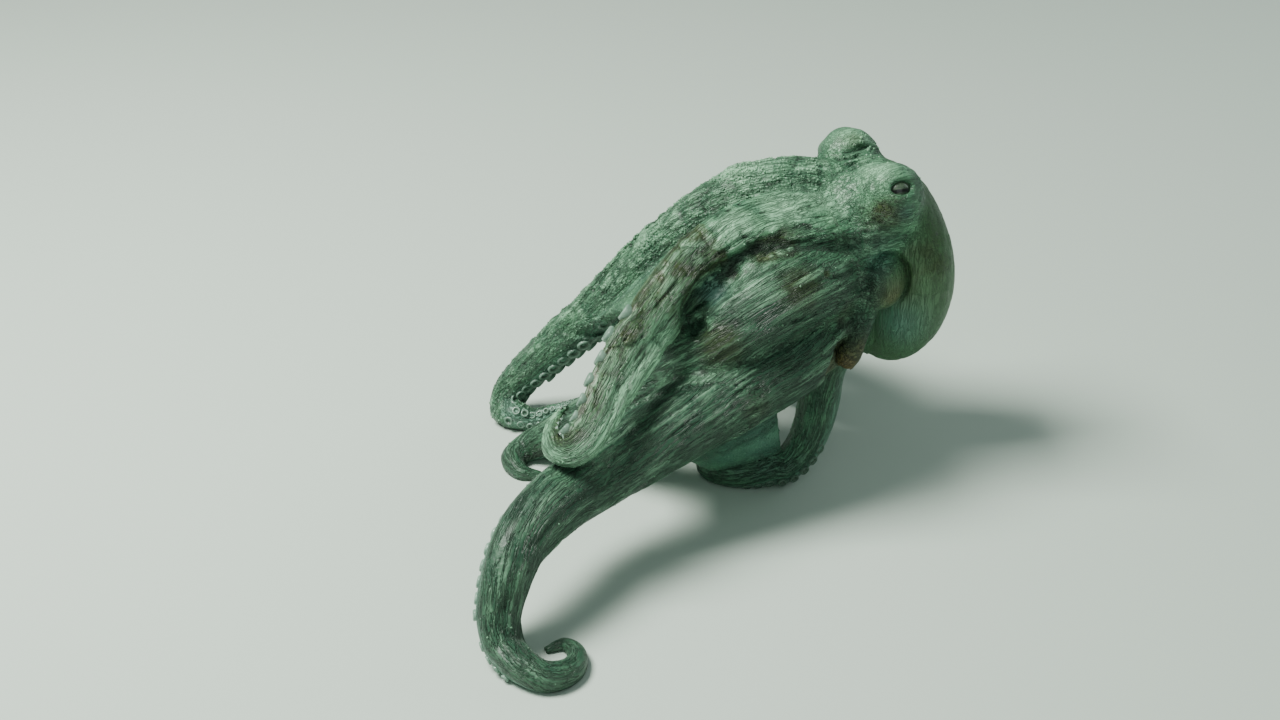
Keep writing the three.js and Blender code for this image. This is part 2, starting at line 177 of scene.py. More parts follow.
def armStations(arm, share):
    fine = catmullRom(arm["route"], 40)
    run = np.concatenate([[0], np.cumsum(np.linalg.norm(np.diff(fine, axis=0), axis=1))])
    at = share * run[-1]
    middle = np.stack([np.interp(at, run, fine[:, i]) for i in range(3)], axis=1)
    ahead = np.stack([np.interp(at + 1.5, run, fine[:, i]) for i in range(3)], axis=1)
    behind = np.stack([np.interp(at - 1.5, run, fine[:, i]) for i in range(3)], axis=1)
    along = unit(ahead - behind)
    oral = blendRows(arm["facing"], share)
    oral = unit(oral - along * np.sum(oral * along, axis=1, keepdims=True))
    across = np.cross(along, oral)
    radius = armShape["tipRadius"] + (arm["radius"] - armShape["tipRadius"]) * (1 - share ** arm["hold"])
    halfWidth = radius * arm["width"]
    halfThickness = radius * arm["thickness"]
    lower = np.where(oral[:, 2] < 0, armShape["oralFlatness"], 1.0)
    reach = np.hypot(across[:, 2] * halfWidth, oral[:, 2] * halfThickness * lower)
    middle[:, 2] = np.maximum(middle[:, 2], reach - armShape["footPress"])
    return {"share": share, "middle": middle, "along": along, "oral": oral, "across": across,
            "halfWidth": halfWidth, "halfThickness": halfThickness, "length": run[-1]}


stationCount = 160
stations = {name: armStations(arm, np.linspace(0, 1, stationCount)) for name, arm in arms.items()}
print("arms laid out:", {n: round(float(s["length"])) for n, s in stations.items()})


# a closed tube of rings, as points, quads and end triangles
def loftShape(rings):
    rings = np.asarray(rings, float)
    n, m = rings.shape[:2]
    points = np.vstack([rings.reshape(-1, 3), rings[0].mean(axis=0), rings[-1].mean(axis=0)])
    i, j = np.meshgrid(np.arange(n - 1), np.arange(m), indexing="ij")
    a = (i * m + j).ravel()
    b = (i * m + (j + 1) % m).ravel()
    quads = np.stack([a, b, b + m, a + m], axis=1)
    k = np.arange(m)
    near = np.stack([(k + 1) % m, k, np.full(m, n * m)], axis=1)
    far = np.stack([(n - 1) * m + k, (n - 1) * m + (k + 1) % m, np.full(m, n * m + 1)], axis=1)
    return points, quads, np.vstack([near, far])


def armRings(arm, station, sides=30):
    angle = np.linspace(0, 2 * math.pi, sides, endpoint=False)
    x = np.cos(angle)
    z = np.sin(angle)
    z = np.sign(z) * np.abs(z) ** arm.get("edge", 1.0)
    z = np.where(z > 0, z * armShape["oralFlatness"], z)
    s = station
    return (s["middle"][:, None] + s["across"][:, None] * (s["halfWidth"][:, None] * x)[..., None]
            + s["oral"][:, None] * (s["halfThickness"][:, None] * z)[..., None])


# Each web: its two arms, where it starts and ends along each, how hollow its edge is, and its thickness.
webs = {
    "dorsal": ("left1", "right1", (.02, .02), (.52, .60), .12, 5.0),
    "left12": ("left1", "left2", (.02, .02), (.24, .22), .12, 5.0),
    "left23": ("left2", "left3", (.02, .02), (.68, .46), .16, 6.0),
    "left34": ("left3", "left4", (.02, .02), (.14, .20), .10, 5.0),
    "leftLower": ("left3", "left4", (.16, .48), (.37, .66), .0, 4.0),
    "right12": ("right1", "right2", (.02, .02), (.42, .42), .3, 5.0),
    "right23": ("right2", "right3", (.02, .02), (.36, .36), .3, 5.0),
    "right34": ("right3", "right4", (.02, .02), (.32, .26), .3, 5.0),
    "ventral": ("left4", "right4", (.02, .02), (.16, .20), .2, 5.0),
}


def middleAt(name, share):
    s = stations[name]
    return np.stack([np.interp(share, s["share"], s["middle"][:, i]) for i in range(3)], axis=-1)


# a thin closed sheet between two arms, its free edge hollowed
def webShape(web, across=22, along=26):
    start, end, hollow, thickness = web[2:]
    u, v = np.meshgrid(np.linspace(0, 1, across), np.linspace(0, 1, along), indexing="ij")
    reach = v * (1 - hollow * np.sin(math.pi * u))
    a = middleAt(web[0], start[0] + (end[0] - start[0]) * reach)
    b = middleAt(web[1], start[1] + (end[1] - start[1]) * reach)
    middle = a + (b - a) * u[..., None]
    normal = unit(np.cross(np.gradient(middle, axis=0), np.gradient(middle, axis=1)))
    half = normal * thickness / 2
    points = np.concatenate([(middle + half).reshape(-1, 3), (middle - half).reshape(-1, 3)])
    count = across * along
    i, j = np.meshgrid(np.arange(across - 1), np.arange(along - 1), indexing="ij")
    c = (i * along + j).ravel()
    top = np.stack([c, c + along, c + along + 1, c + 1], axis=1)
    rim = np.concatenate([np.arange(along), np.arange(1, across) * along + along - 1,
                          (across - 1) * along + np.arange(along - 2, -1, -1),
                          np.arange(across - 2, 0, -1) * along])
    side = np.stack([rim, np.roll(rim, -1), np.roll(rim, -1) + count, rim + count], axis=1)
    return points, np.vstack([top, top[:, ::-1] + count, side]), None


mantle = {"at": (116, 153, 135), "halfLength": 68, "halfWidth": 43, "halfDepth": 28,
          "bow": 12, "belly": 0.06, "bluntness": 0.8}


def mantleShape(rows=60, sides=64):
    tilt = np.linspace(0.02, math.pi - 0.02, rows)[:, None]
    turnRound = np.linspace(0, 2 * math.pi, sides, endpoint=False)[None]
    y = np.cos(tilt)
    full = np.sin(tilt) ** mantle["bluntness"] * (1 - mantle["belly"] * y)
    out = ((np.cos(turnRound) * full)[..., None] * forward * mantle["halfDepth"]
           + (np.sin(turnRound) * full)[..., None] * leftward * mantle["halfWidth"])
    spine = np.array(mantle["at"], float) + (y * mantle["halfLength"])[..., None] * upward
    spine = spine + (mantle["bow"] * (1 - y**2))[..., None] * np.array([1.0, 0, 0])
    return loftShape(spine + out)


funnel = {"route": [(102, 121, 146), (98, 110, 127), (91, 99, 109), (83, 92, 90)],
          "rootRadius": 13.0, "mouthRadius": 9.5, "boreRadius": 5.4, "boreDepth": 13.0,
          "swell": [1.2, 1.05, 1, 1, 1, 0.97, 0.66],   # of the mouth's radius, on from the root
          "flare": [1.25, 1, 0.8]}   # of the bore's radius, from the mouth inwards


# All flesh is joined in one field of distances, in millimetres, on this grid.
voxel = 1.4
band = 8.0
frameLow, frameHigh = [np.array(c) / mm - shift for c in cadBox]
gridLow = np.floor((frameLow - 10) / voxel).astype(int)
gridSize = np.ceil((frameHigh + 10) / voxel).astype(int) - gridLow
gridSpace = openvdb.createLinearTransform(voxelSize=voxel)


def gridWindow(low, high):
    a = np.clip(np.floor(low / voxel).astype(int) - gridLow, 0, gridSize - 2)
    b = np.clip(np.ceil(high / voxel).astype(int) - gridLow + 1, a + 1, gridSize)
    return tuple(slice(int(i), int(j)) for i, j in zip(a, b))


def gridPoints(window):
    axes = []
    for w, g in zip(window, gridLow):
        axes.append(((np.arange(w.start, w.stop) + g) * voxel).astype(np.float32))
    return np.meshgrid(*axes, indexing="ij", sparse=True)


def meshField(shape):
    points, quads, tris = shape
    window = gridWindow(points.min(axis=0) - band, points.max(axis=0) + band)
    field = openvdb.FloatGrid.createLevelSetFromPolygons(
        points.astype(np.float32), quads=quads.astype(np.uint32),
        triangles=None if tris is None else tris.astype(np.uint32),
        transform=gridSpace, halfWidth=band / voxel)
    values = np.empty([w.stop - w.start for w in window], np.float32)
    field.copyToArray(values, ijk=tuple(int(w.start + g) for w, g in zip(window, gridLow)))
    return window, values


# a ball stretched along three directions; the distance is a close estimate near its surface
def blobField(at, size, axes=(forward, leftward, upward)):
    at = np.array(at, float)
    reach = max(size) + band
    window = gridWindow(at - reach, at + reach)
    x, y, z = gridPoints(window)
    near = 0.0
    steep = 0.0
    for axis, half in zip(axes, size):
        axis = np.asarray(axis, np.float32)
        part = sum((line - np.float32(zero)) * share for line, zero, share in zip((x, y, z), at, axis))
        near = near + (part / half) ** 2
        steep = steep + (part / half**2) ** 2
    near = np.sqrt(near)
    return window, np.clip(near * (near - 1) / np.sqrt(steep + 1e-9), -band, band).astype(np.float32)


def softMin(a, b, k):
    h = np.maximum(k - np.abs(a - b), 0) / k
    return np.minimum(a, b) - h * h * k / 4


def emptyField():
    return np.full(gridSize, band, np.float32)


def join(field, piece, k):
    window, values = piece
    field[window] = softMin(field[window], values, k)


def carve(field, piece, k):
    window, values = piece
    field[window] = -softMin(-field[window], values, k)


# How softly each arm runs into what is beside it, near the crown and far out.
armBlend = {"right2": (12, 6), "right3": (12, 6), "right4": (10, 5), "left4": (10, 4), "right1": (10, 3),
            "left2": (14, 14), "left3": (14, 14), "left1": (11, 1.5)}
# How softly the rest runs together, and the folded pair of arms near the crown and far out.
blend = {"body": 10, "mound": 7, "web": 5, "pairWeb": 8, "pair": (12, 3), "dorsalAgain": 3, "shoulder": 8,
         "mantle": 9, "valley": 5, "besideFunnel": 4, "pocket": 1.5, "collar": 1, "funnel": 3.5,
         "bore": 2, "eye": 4, "lidFold": 3, "lidOpening": 1, "brow": 0.8}
# Creases beside a shape: width, depth, and how far from the crown they begin.
creases = {"left1OnPair": (10, 12, 100), "left1OnRest": (7, 5, 100), "left4OnPair": (6, 4, 60),
           "funnel": (5, 4, 48)}
creaseFade = 20.0
drapedArms = ["left2", "left3"]   # these hang as one soft fold of skin
crown = {"at": (72, 140, 145), "reach": 50.0, "fade": 90.0}


def awayFromCrown(window):
    x, y, z = gridPoints(window)
    at = np.array(crown["at"], np.float32)
    return np.sqrt((x - at[0]) ** 2 + (y - at[1]) ** 2 + (z - at[2]) ** 2)


def joinArm(field, piece, near, far):
    away = awayFromCrown(piece[0])
    join(field, piece, near + (far - near) * np.clip((away - crown["reach"]) / crown["fade"], 0, 1))


# deepens the line where a shape meets the field beside it, from a distance off the crown outwards
def creaseBeside(field, piece, beside, width, depth, start):
    window, values = piece
    other = beside[window]
    near = np.clip(1 - np.abs(values - other) / width, 0, 1) ** 2
    near = near * np.clip(1 - np.abs(np.maximum(values, other)) / width, 0, 1)
    field[window] += depth * near * np.clip((awayFromCrown(window) - start) / creaseFade, 0, 1)


armFields = {name: meshField(loftShape(armRings(arm, stations[name]))) for name, arm in arms.items()}
drape = emptyField()
for name in drapedArms:
    joinArm(drape, armFields[name], *armBlend[name])
join(drape, meshField(webShape(webs["left23"])), blend["pairWeb"])

bodyBlobs = [
    ((95, 145, 180), (35, 37, 31)),   # skull
    ((101, 148, 194), (26, 40, 20)),  # brow between the eyes
    ((66, 137, 142), (37, 40, 50)),   # crown that the arms grow from
    ((114, 153, 176), (25, 33, 29)),  # neck
]
flesh = emptyField()
for at, size in bodyBlobs:
    join(flesh, blobField(at, size), blend["body"])
for side in head["mounds"]:
    join(flesh, blobField(head["mounds"][side], head["moundSize"]), blend["mound"])
everywhere = tuple(slice(0, int(n)) for n in gridSize)
for name in armBlend:
    if name not in drapedArms + ["left1"]:
        joinArm(flesh, armFields[name], *armBlend[name])
beforeDrape = flesh.copy()
joinArm(flesh, (everywhere, drape), *blend["pair"])
for name, web in webs.items():
    if name != "left23":
        join(flesh, meshField(webShape(web)), blend["web"])
joinArm(flesh, armFields["left1"], *armBlend["left1"])
creaseBeside(flesh, armFields["left1"], drape, *creases["left1OnPair"])
creaseBeside(flesh, armFields["left1"], beforeDrape, *creases["left1OnRest"])
creaseBeside(flesh, armFields["left4"], drape, *creases["left4OnPair"])
# closes the web again where a crease crossed it
join(flesh, meshField(webShape(webs["dorsal"])), blend["dorsalAgain"])
print("arms and webs joined")


def ringsAlong(line, radius, sides=28):
    along = unit(np.gradient(line, axis=0))
    side = unit(np.cross(along, leftward))
    other = np.cross(along, side)
    angle = np.linspace(0, 2 * math.pi, sides, endpoint=False)
    ring = side[:, None] * np.cos(angle)[None, :, None] + other[:, None] * np.sin(angle)[None, :, None]
    return loftShape(line[:, None] + ring * radius[:, None, None])


def tubeField(route, radii):
    line = catmullRom(route, 8)
    at = np.linspace(0, 1, len(line))
    return meshField(ringsAlong(line, np.interp(at, np.linspace(0, 1, len(radii)), radii)))


def fieldAt(field, points):
    cell = np.clip(np.round(points / voxel).astype(int) - gridLow, 1, gridSize - 2)
    return field[cell[:, 0], cell[:, 1], cell[:, 2]]


def slopeAt(field, points):
    rises = []
    for step in np.eye(3) * voxel:
        rises.append(fieldAt(field, points + step) - fieldAt(field, points - step))
    return unit(np.stack(rises, axis=1))


# moves points onto the surface by short steps along the slope of the field
def ontoSurface(field, points, rounds=4, step=6.0):
    for _ in range(rounds):
        points = points - slopeAt(field, points) * np.clip(fieldAt(field, points), -step, step)[:, None]
    return points


grooveLines = []   # the bottom line of each groove with its least radius, to shade it as well


# a groove along a route that is first brought onto the surface; radii and depths are read along it
def groove(field, route, radii, depths, k):
    line = ontoSurface(field, catmullRom(route, 8))
    for _ in range(3):
        line[1:-1] = (line[:-2] + 2 * line[1:-1] + line[2:]) / 4
    at = np.linspace(0, 1, len(line))
    radius = np.interp(at, np.linspace(0, 1, len(radii)), radii)
    depth = np.interp(at, np.linspace(0, 1, len(depths)), depths)
    out = slopeAt(field, line)
    grooveLines.append((line - out * depth[:, None], min(radii)))
    carve(field, meshField(ringsAlong(line + out * (radius - depth)[:, None], radius)), k)


# The shoulder of the second left arm swells below a valley, which opens into a dark pocket.
shoulder = ((60, 96, 153), (24, 21, 20))
valley = {"route": [(86, 110, 173), (71, 103, 175), (51, 91, 180), (25, 81, 185), (9, 72, 177),
                    (-6, 62, 165), (-16, 55, 151), (-21, 58, 138)],
          "radii": [4, 5, 6, 8, 9, 11, 10, 7],
          "depths": [0.3, 1.5, 3.5, 5, 6, 10, 8, 3]}
join(flesh, blobField(*shoulder), blend["shoulder"])
join(flesh, meshField(mantleShape()), blend["mantle"])
groove(flesh, valley["route"], valley["radii"], valley["depths"], blend["valley"])

# The opening of the mantle, with the inner collar showing in it, and the funnel below.
opening = {"pocket": ((112, 114, 143), (17, 13, 22)), "collar": ((109.5, 120.5, 142), (17, 14.5, 22))}
besideFunnel = ((88, 79, 95), (19, 19, 24))   # the third arm's root hollows where the funnel comes past
carve(flesh, blobField(*besideFunnel), blend["besideFunnel"])
carve(flesh, blobField(*opening["pocket"]), blend["pocket"])
join(flesh, blobField(*opening["collar"]), blend["collar"])
beforeFunnel = flesh.copy()
swell = [funnel["mouthRadius"] * share for share in funnel["swell"]]
funnelField = tubeField(funnel["route"], [funnel["rootRadius"]] + swell)
join(flesh, funnelField, blend["funnel"])
creaseBeside(flesh, funnelField, beforeFunnel, *creases["funnel"])
mouth = np.array(funnel["route"][-1], float)
inward = unit(np.array(funnel["route"][-2], float) - mouth) * funnel["boreDepth"]
bore = [mouth - inward, mouth - inward / 2, mouth + inward / 2, mouth + inward]
carve(flesh, tubeField(bore, [funnel["boreRadius"] * share for share in funnel["flare"]]), blend["bore"])

# Lids: a raised ring of skin round each eyeball, with a level oval opening.
# Each fold has its height over the middle of the eye, and how much it bulges.
lids = {"skin": 1.0, "halfWidth": 8.4, "halfHeight": 4.9, "depth": 8, "ahead": 2,
        "folds": [(7.2, 0.6), (-6.8, 1.0)], "foldBack": 3.6, "foldSize": (3.4, 10.5, 2.3)}


def eyeAxes(side):
    look = eyeLook(side)
    level = unit(np.cross(upward, look))
    return look, level, np.cross(look, level)


farDome = ((87, 173, 211), (15, 15, 12))   # rounds the top of the far mound over its lid
join(flesh, blobField(*farDome), blend["mound"])
for side in head["mounds"]:
    axes = eyeAxes(side)
    look, level, rise = axes
    at = eyeCentre(side)
    join(flesh, blobField(at, [head["eyeRadius"] + lids["skin"]] * 3), blend["eye"])
    thick, wide, tall = lids["foldSize"]
    for height, bulge in lids["folds"]:
        fold = at + look * (head["eyeRadius"] - lids["foldBack"]) + rise * height
        join(flesh, blobField(fold, (thick + bulge, wide, tall + bulge), axes), blend["lidFold"])
    gap = (lids["depth"], lids["halfWidth"], lids["halfHeight"])
    front = at + look * (head["eyeRadius"] + lids["ahead"])
    carve(flesh, blobField(front, gap, axes), blend["lidOpening"])

# folds of skin that run between the two eyes
browFolds = {"routes": [[(79, 155, 210), (91, 154, 214), (105, 164, 212)],
                        [(73, 144, 208), (89, 147, 212), (104, 154, 217)],
                        [(75, 140, 205), (90, 142, 211), (101, 146, 215)],
                        [(84, 157, 215), (95, 160, 218), (104, 166, 216)]],
             "radii": [1.7, 2.2, 1.7], "depths": [0.8, 3.6, 0.8]}
for route in browFolds["routes"]:
    groove(flesh, route, browFolds["radii"], browFolds["depths"], blend["brow"])

# The floor presses the resting arms flat.
floorZ = gridPoints(everywhere)[2]
flesh[:] = np.maximum(flesh, -floorZ.astype(np.float32))

fleshGrid = openvdb.FloatGrid(band)
fleshGrid.transform = gridSpace
fleshGrid.copyFromArray(flesh, ijk=tuple(int(i) for i in gridLow))


# keeps the largest joined part, so that no speck floats beside the skin
def largestPart(points, quads):
    label = np.arange(len(points))
    settled = False
    while not settled:
        before = label.copy()
        least = label[quads].min(axis=1)
        for corner in quads.T:
            np.minimum.at(label, corner, least)
        label = label[label]
        settled = np.array_equal(label, before)
    kept = label == np.bincount(label).argmax()
    place = np.cumsum(kept) - 1
    return points[kept], place[quads[kept[quads[:, 0]]]]


drawnPoints, drawnQuads = fleshGrid.convertToQuads(0.0)
skinPoints, skinQuads = largestPart(drawnPoints.astype(float), drawnQuads.astype(int))
print("skin drawn:", len(skinPoints), "points", len(skinQuads), "quads")


# Each point of the skin has a place on its own arm, on the head or on the mantle.
partNames = list(arms) + ["head", "mantle"]


# how each point lies on one arm: along and around it, and how far off its surface
def armPlace(name, points):
    s = stations[name]
    middle = s["middle"]
    near = np.argmin(np.sum(middle**2, axis=1)[None] - 2 * points @ middle.T, axis=1)
    v = points - middle[near]
    ahead = np.sum(v * s["along"][near], axis=1)
    a = np.sum(v * s["across"][near], axis=1)
    b = np.sum(v * s["oral"][near], axis=1)
    wide = s["halfWidth"][near]
    thick = s["halfThickness"][near]
    ring = np.hypot(a / wide, b / thick)
    past = np.where((near == 0) | (near == len(middle) - 1), np.abs(ahead), 0)
    return {"flow": np.stack([a, b, s["share"][near] * s["length"] + ahead], axis=1),
            "away": np.hypot(np.maximum(ring - 1, 0) * (wide + thick) / 2, past),
            "share": s["share"][near], "oral": b / thick, "ring": ring, "radius": (wide + thick) / 2,
            "angle": np.arctan2(b / thick, a / wide), "across": a / wide}


# the same for a ball; folds run along the axis with the number stretchAxis
def blobPlace(at, size, points, stretchAxis):
    v = points - np.array(at, float)
    local = np.stack([v @ forward, v @ leftward, v @ upward], axis=1)
    ring = np.linalg.norm(local / np.array(size, float), axis=1)
    order = [i for i in range(3) if i != stretchAxis] + [stretchAxis]
    return {"flow": local[:, order], "away": np.maximum(ring - 1, 0) * min(size), "ring": ring,
            "share": 0.5 - local[:, 2] / (2 * size[2]), "oral": np.full(len(points), -1.0),
            "radius": np.full(len(points), float(min(size))),
            "angle": np.arctan2(local[:, 1], local[:, 0])}


# rough balls for the head and mantle, and how softly one part's skin gives way to the next
partBalls = {"skull": ((95, 145, 182), (36, 40, 30)), "mantle": ((128, 153, 135), (30, 43, 68)),
             "fade": 2.2}


def placesOf(points):
    places = {name: armPlace(name, points) for name in arms}
    skull = blobPlace(*partBalls["skull"], points, 0)
    for at in head["mounds"].values():
        mound = blobPlace(at, head["moundSize"], points, 0)
        skull["away"] = np.minimum(skull["away"], mound["away"])
    places["head"] = skull
    places["mantle"] = blobPlace(*partBalls["mantle"], points, 2)
    away = np.stack([places[n]["away"] for n in partNames], axis=1)
    weight = np.exp(-away / partBalls["fade"]) + 1e-9
    return places, weight / weight.sum(axis=1, keepdims=True)


# Smooth noise reads this table, which is the same on each run.
noiseTable = rng.random(8192)


def smoothNoise(p):
    cell = np.floor(p).astype(np.int64)
    f = p - cell
    f = f * f * (3 - 2 * f)
    total = 0.0
    for corner in range(8):
        step = np.array([corner & 1, corner >> 1 & 1, corner >> 2 & 1])
        c = cell + step
        mixed = (c[:, 0] * 73856093) ^ (c[:, 1] * 19349663) ^ (c[:, 2] * 83492791)
        part = np.prod(np.where(step, f, 1 - f), axis=1)
        total = total + part * noiseTable[mixed & 8191]
    return total


# broad ridges with narrow valleys between them, from 0 in a valley to 1 on a ridge
def foldNoise(flow, width, stretch, wander):
    q = flow / np.array([width, width, width * stretch])
    drift = smoothNoise(flow / np.array([wander * 5, wander * 5, wander * 20]) + 31.7) * 1.4
    q = q + np.stack([drift, -drift, np.zeros(len(q))], axis=1)
    return np.sqrt(np.clip(np.abs(2 * smoothNoise(q) - 1) * 2.2, 0, 1))


# Heights of long folds, of finer creases between them and of rounded grains, all in millimetres, then the
# folds' width and stretch, the grains' width, and how rough the skin is.
reliefKeys = ("fold", "crease", "grain", "width", "stretch", "knob", "rough")
reliefRows = {
    "left1": (1.5, 0.8, 0.8, 6.0, 5, 5.0, 0.15),
    "right1": (1.0, 0.6, 0.9, 7.0, 3, 5.0, 0.5),
    "left2": (1.3, 0.8, 0.1, 6.0, 9, 2.8, 0.1),
    "left3": (1.2, 0.7, 0.1, 6.0, 9, 2.8, 0.1),
    "left4": (0.9, 0.5, 0.2, 5.5, 6, 2.8, 0.2),
    "right2": (1.3, 0.8, 0.4, 6.5, 5, 3.5, 0.3),
    "right3": (1.3, 0.8, 0.4, 6.5, 5, 3.5, 0.3),
    "right4": (1.0, 0.6, 0.3, 5.5, 5, 3.0, 0.3),
    "head": (1.1, 0.8, 0.1, 5.0, 6, 2.8, 0.12),
    "mantle": (0.5, 0.2, 0.1, 7.0, 12, 2.8, 0.05),
}
relief = {name: dict(zip(reliefKeys, row)) for name, row in reliefRows.items()}


# folds are lower on the side of the suckers, on slim parts and away from the part's own surface
def reliefHeight(name, place):
    r = relief[name]
    flow = place["flow"]
    back = np.clip(0.75 - place["oral"] * 1.1, 0.12, 1)
    slim = np.clip(place["radius"] / 14, 0.15, 1) * np.clip(2.2 - place["ring"], 0.2, 1)
    folds = r["fold"] * (foldNoise(flow, r["width"], r["stretch"], 3) - 0.7)
    creases = r["crease"] * (foldNoise(flow + 57.0, r["width"] * 0.6, r["stretch"] * 0.8, 2) - 0.7)
    grainFlow = flow / (r["knob"] * np.array([1, 1, 1.5]))
    grains = r["grain"] * (np.abs(2 * smoothNoise(grainFlow) - 1) * 2 - 0.7)
    if name == "left1":
        grains = grains * np.clip((0.5 - place["share"]) * 6, 0.1, 1)
    return (folds + creases + grains) * back * slim


# the relief is small round the eyes, the funnel and the collar
quiet = {"eyeAhead": 8, "eyeReach": 6, "eyeFade": 12, "share": 0.6,
         "spots": [(funnel["route"][-1], 16), (funnel["route"][-2], 14), (opening["collar"][0], 20)]}


def quietNear(points):
    calm = np.ones(len(points))
    for side in head["mounds"]:
        d = np.linalg.norm(points - (eyeCentre(side) + eyeLook(side) * quiet["eyeAhead"]), axis=1)
        calm *= np.clip((d - quiet["eyeReach"]) / quiet["eyeFade"], 0.05, 1)
    for at, reach in quiet["spots"]:
        d = np.linalg.norm(points - np.array(at, float), axis=1)
        calm *= np.clip((d - reach * quiet["share"]) / (reach * quiet["share"]), 0.12, 1)
    return calm


# the normal at each point, all to the same side of the surface
def outwardOf(points, quads):
    a, b, c, d = [points[quads[:, i]] for i in range(4)]
    face = np.cross(c - a, d - b)
    total = np.zeros_like(points)
    for i in range(4):
        for axis in range(3):
            total[:, axis] += np.bincount(quads[:, i], weights=face[:, axis], minlength=len(points))
    return unit(total)


places, weights = placesOf(skinPoints)
height = np.zeros(len(skinPoints))
for i, name in enumerate(partNames):
    height += weights[:, i] * reliefHeight(name, places[name])
height *= quietNear(skinPoints)
outward = outwardOf(skinPoints, skinQuads)
# +1 if the quads face outwards, judged at the mantle's point that is furthest along X
furthest = np.argmax(skinPoints[:, 0])
facingOut = np.sign(np.dot(skinPoints[furthest] - np.array(mantle["at"]), outward[furthest]))
outward *= facingOut
onFloor = skinPoints[:, 2] < 0.3
height[onFloor] = np.minimum(height[onFloor], 0)
skinPoints = skinPoints + outward * height[:, None]
skinPoints[:, 2] = np.maximum(skinPoints[:, 2], 0)
skinPoints[onFloor, 2] = 0
print("skin wrinkled")

# Spots of colour: where each lies, how far it reaches and how strong it is.
# Shade spots are painted shade; pale spots are partly painted highlight on the tops.
markings = {
    "brown": [((50, 66, 164), 15, 1.3), ((66, 78, 167), 2.6, 1.4), ((0, 50, 131), 15, 1.3),
              ((-12, 76, 182), 13, 0.8), ((-50, 38, 155), 9, 0.7), ((-66, 22, 143), 8, 0.7),
              ((-80, 0, 126), 9, 0.6), ((-112, 120, 18), 20, 1.0), ((16, 52, 88), 13, 0.6),
              ((113, 105, 196), 9, 1.0), ((107, 108, 196), 13, 1.0), ((30, 84, 182), 11, 1.3),
              ((40, 90, 178), 10, 1.3), ((88, 84, 130), 13, 0.6), ((142, 118, 158), 16, 0.45),
              ((-20, 30, 70), 12, 0.4), ((90, 166, 220), 9, 0.5), ((30, 180, 180), 15, 0.7),
              ((-60, 165, 110), 16, 0.8), ((40, 230, 110), 16, 0.7), ((138, 180, 150), 20, 0.5),
              ((120, 196, 120), 16, 0.5), ((-95, 172, 75), 15, 0.8)],
    "paleAndHighlight": [((42, 108, 200), 16, 0.7), ((12, 90, 194), 12, 0.6), ((70, 116, 206), 12, 0.5),
             ((20, 148, 208), 20, 0.5), ((-52, 22, 138), 11, 0.7), ((-66, 0, 124), 11, 0.8),
             ((-76, -16, 110), 11, 0.7), ((104, 118, 220), 8, 0.5), ((20, 66, 162), 12, 0.45),
             ((80, 88, 168), 10, 0.35), ((88, 165, 224), 12, 0.5), ((100, 130, 222), 14, 0.6)],
    "grey": [((-6, 66, 163), 9, 1.2), ((29, 76, 42), 24, 0.6), ((8, 72, 36), 18, 0.5),
             ((123, 117, 110), 19, 1.0), ((119, 107, 199), 6, 0.8), ((104, 118, 160), 12, 0.7)],
    "rust": [((117, 108, 134), 11, 0.6), ((84, 84, 92), 15, 1.0), ((93, 92, 104), 9, 0.6),
             ((84, 92, 86), 10, 0.9)],
    "shade": [((99, 110, 178), 13, 0.9), ((86, 108, 172), 9, 0.8), ((-8, 62, 160), 15, 1.2),
              ((20, 82, 184), 9, 0.6), ((-17, 60, 143), 9, 1.0), ((92, 96, 145), 15, 0.8),
              ((80, 92, 118), 12, 0.6), ((121, 104, 190), 5, 0.7), ((103, 106, 150), 9, 0.7),
              ((-20, 66, 136), 9, 0.9), ((-32, 62, 117), 12, 0.95), ((-45, 41, 96), 12, 0.95),
              ((-61, 16, 92), 11, 0.9), ((-70, -2, 85), 9, 0.8), ((-120, -50, 75), 40, 0.97),
              ((-134, -84, 58), 34, 0.97), ((-136, -85, 35), 25, 0.9), ((-14, 76, 185), 9, 0.7),
              ((45, 89, 180), 8, 0.8)],
}


def markingAt(name, points):
    total = np.zeros(len(points))
    for at, reach, strength in markings[name]:
        near = np.argmin(np.linalg.norm(points - np.array(at, float), axis=1))
        d = np.linalg.norm(points - points[near], axis=1) / reach
        total = np.maximum(total, strength * np.exp(-(d**2)))
    return np.clip(total, 0, 1)


owner = np.argmax(weights, axis=1)


# a value of each point on the part it mostly belongs to
def pick(key):
    rows = np.stack([places[n][key] for n in partNames], axis=1)
    return rows[np.arange(len(owner)), owner]


patternGap = 400.0   # keeps the wrinkle patterns of two parts from being alike


def pickFlow():
    rows = np.stack([places[n]["flow"] for n in partNames], axis=1)
    return rows[np.arange(len(owner)), owner] + owner[:, None] * patternGap


isArm = owner < len(arms)
along = pick("share")
skinMarks = {name: markingAt(name, skinPoints) for name in markings}
skinMarks["oral"] = np.where(isArm & (pick("ring") < 1.3), np.clip((pick("oral") - 0.35) * 2.4, 0, 1), 0)
skinMarks["mantle"] = weights[:, partNames.index("mantle")]
# the relief's height, which paints highlight on the ridges and shade in the valleys
skinMarks["crease"] = np.clip(0.6 + height / 2.0, 0, 1)
skinMarks["rough"] = sum(weights[:, i] * relief[n]["rough"] for i, n in enumerate(partNames))
# painted shade over each arm as a whole, less where the marks are pale or brown
armShade = {"left4": 0.48, "right4": 0.5, "right3": 0.4, "right2": 0.4, "right1": 0.3, "left2": 0.8,
           "left3": 0.8}
for name, tone in armShade.items():
    share = weights[:, partNames.index(name)]
    lit = np.maximum(skinMarks["paleAndHighlight"], skinMarks["brown"])
    skinMarks["shade"] = np.maximum(skinMarks["shade"], share * tone * (1 - lit * 0.6))
for line, reach in grooveLines:
    d = np.min([np.linalg.norm(skinPoints - p, axis=1) for p in line], axis=0)
    skinMarks["shade"] = np.maximum(skinMarks["shade"], 0.95 * np.exp(-((d / (reach * 1.15)) ** 2)))
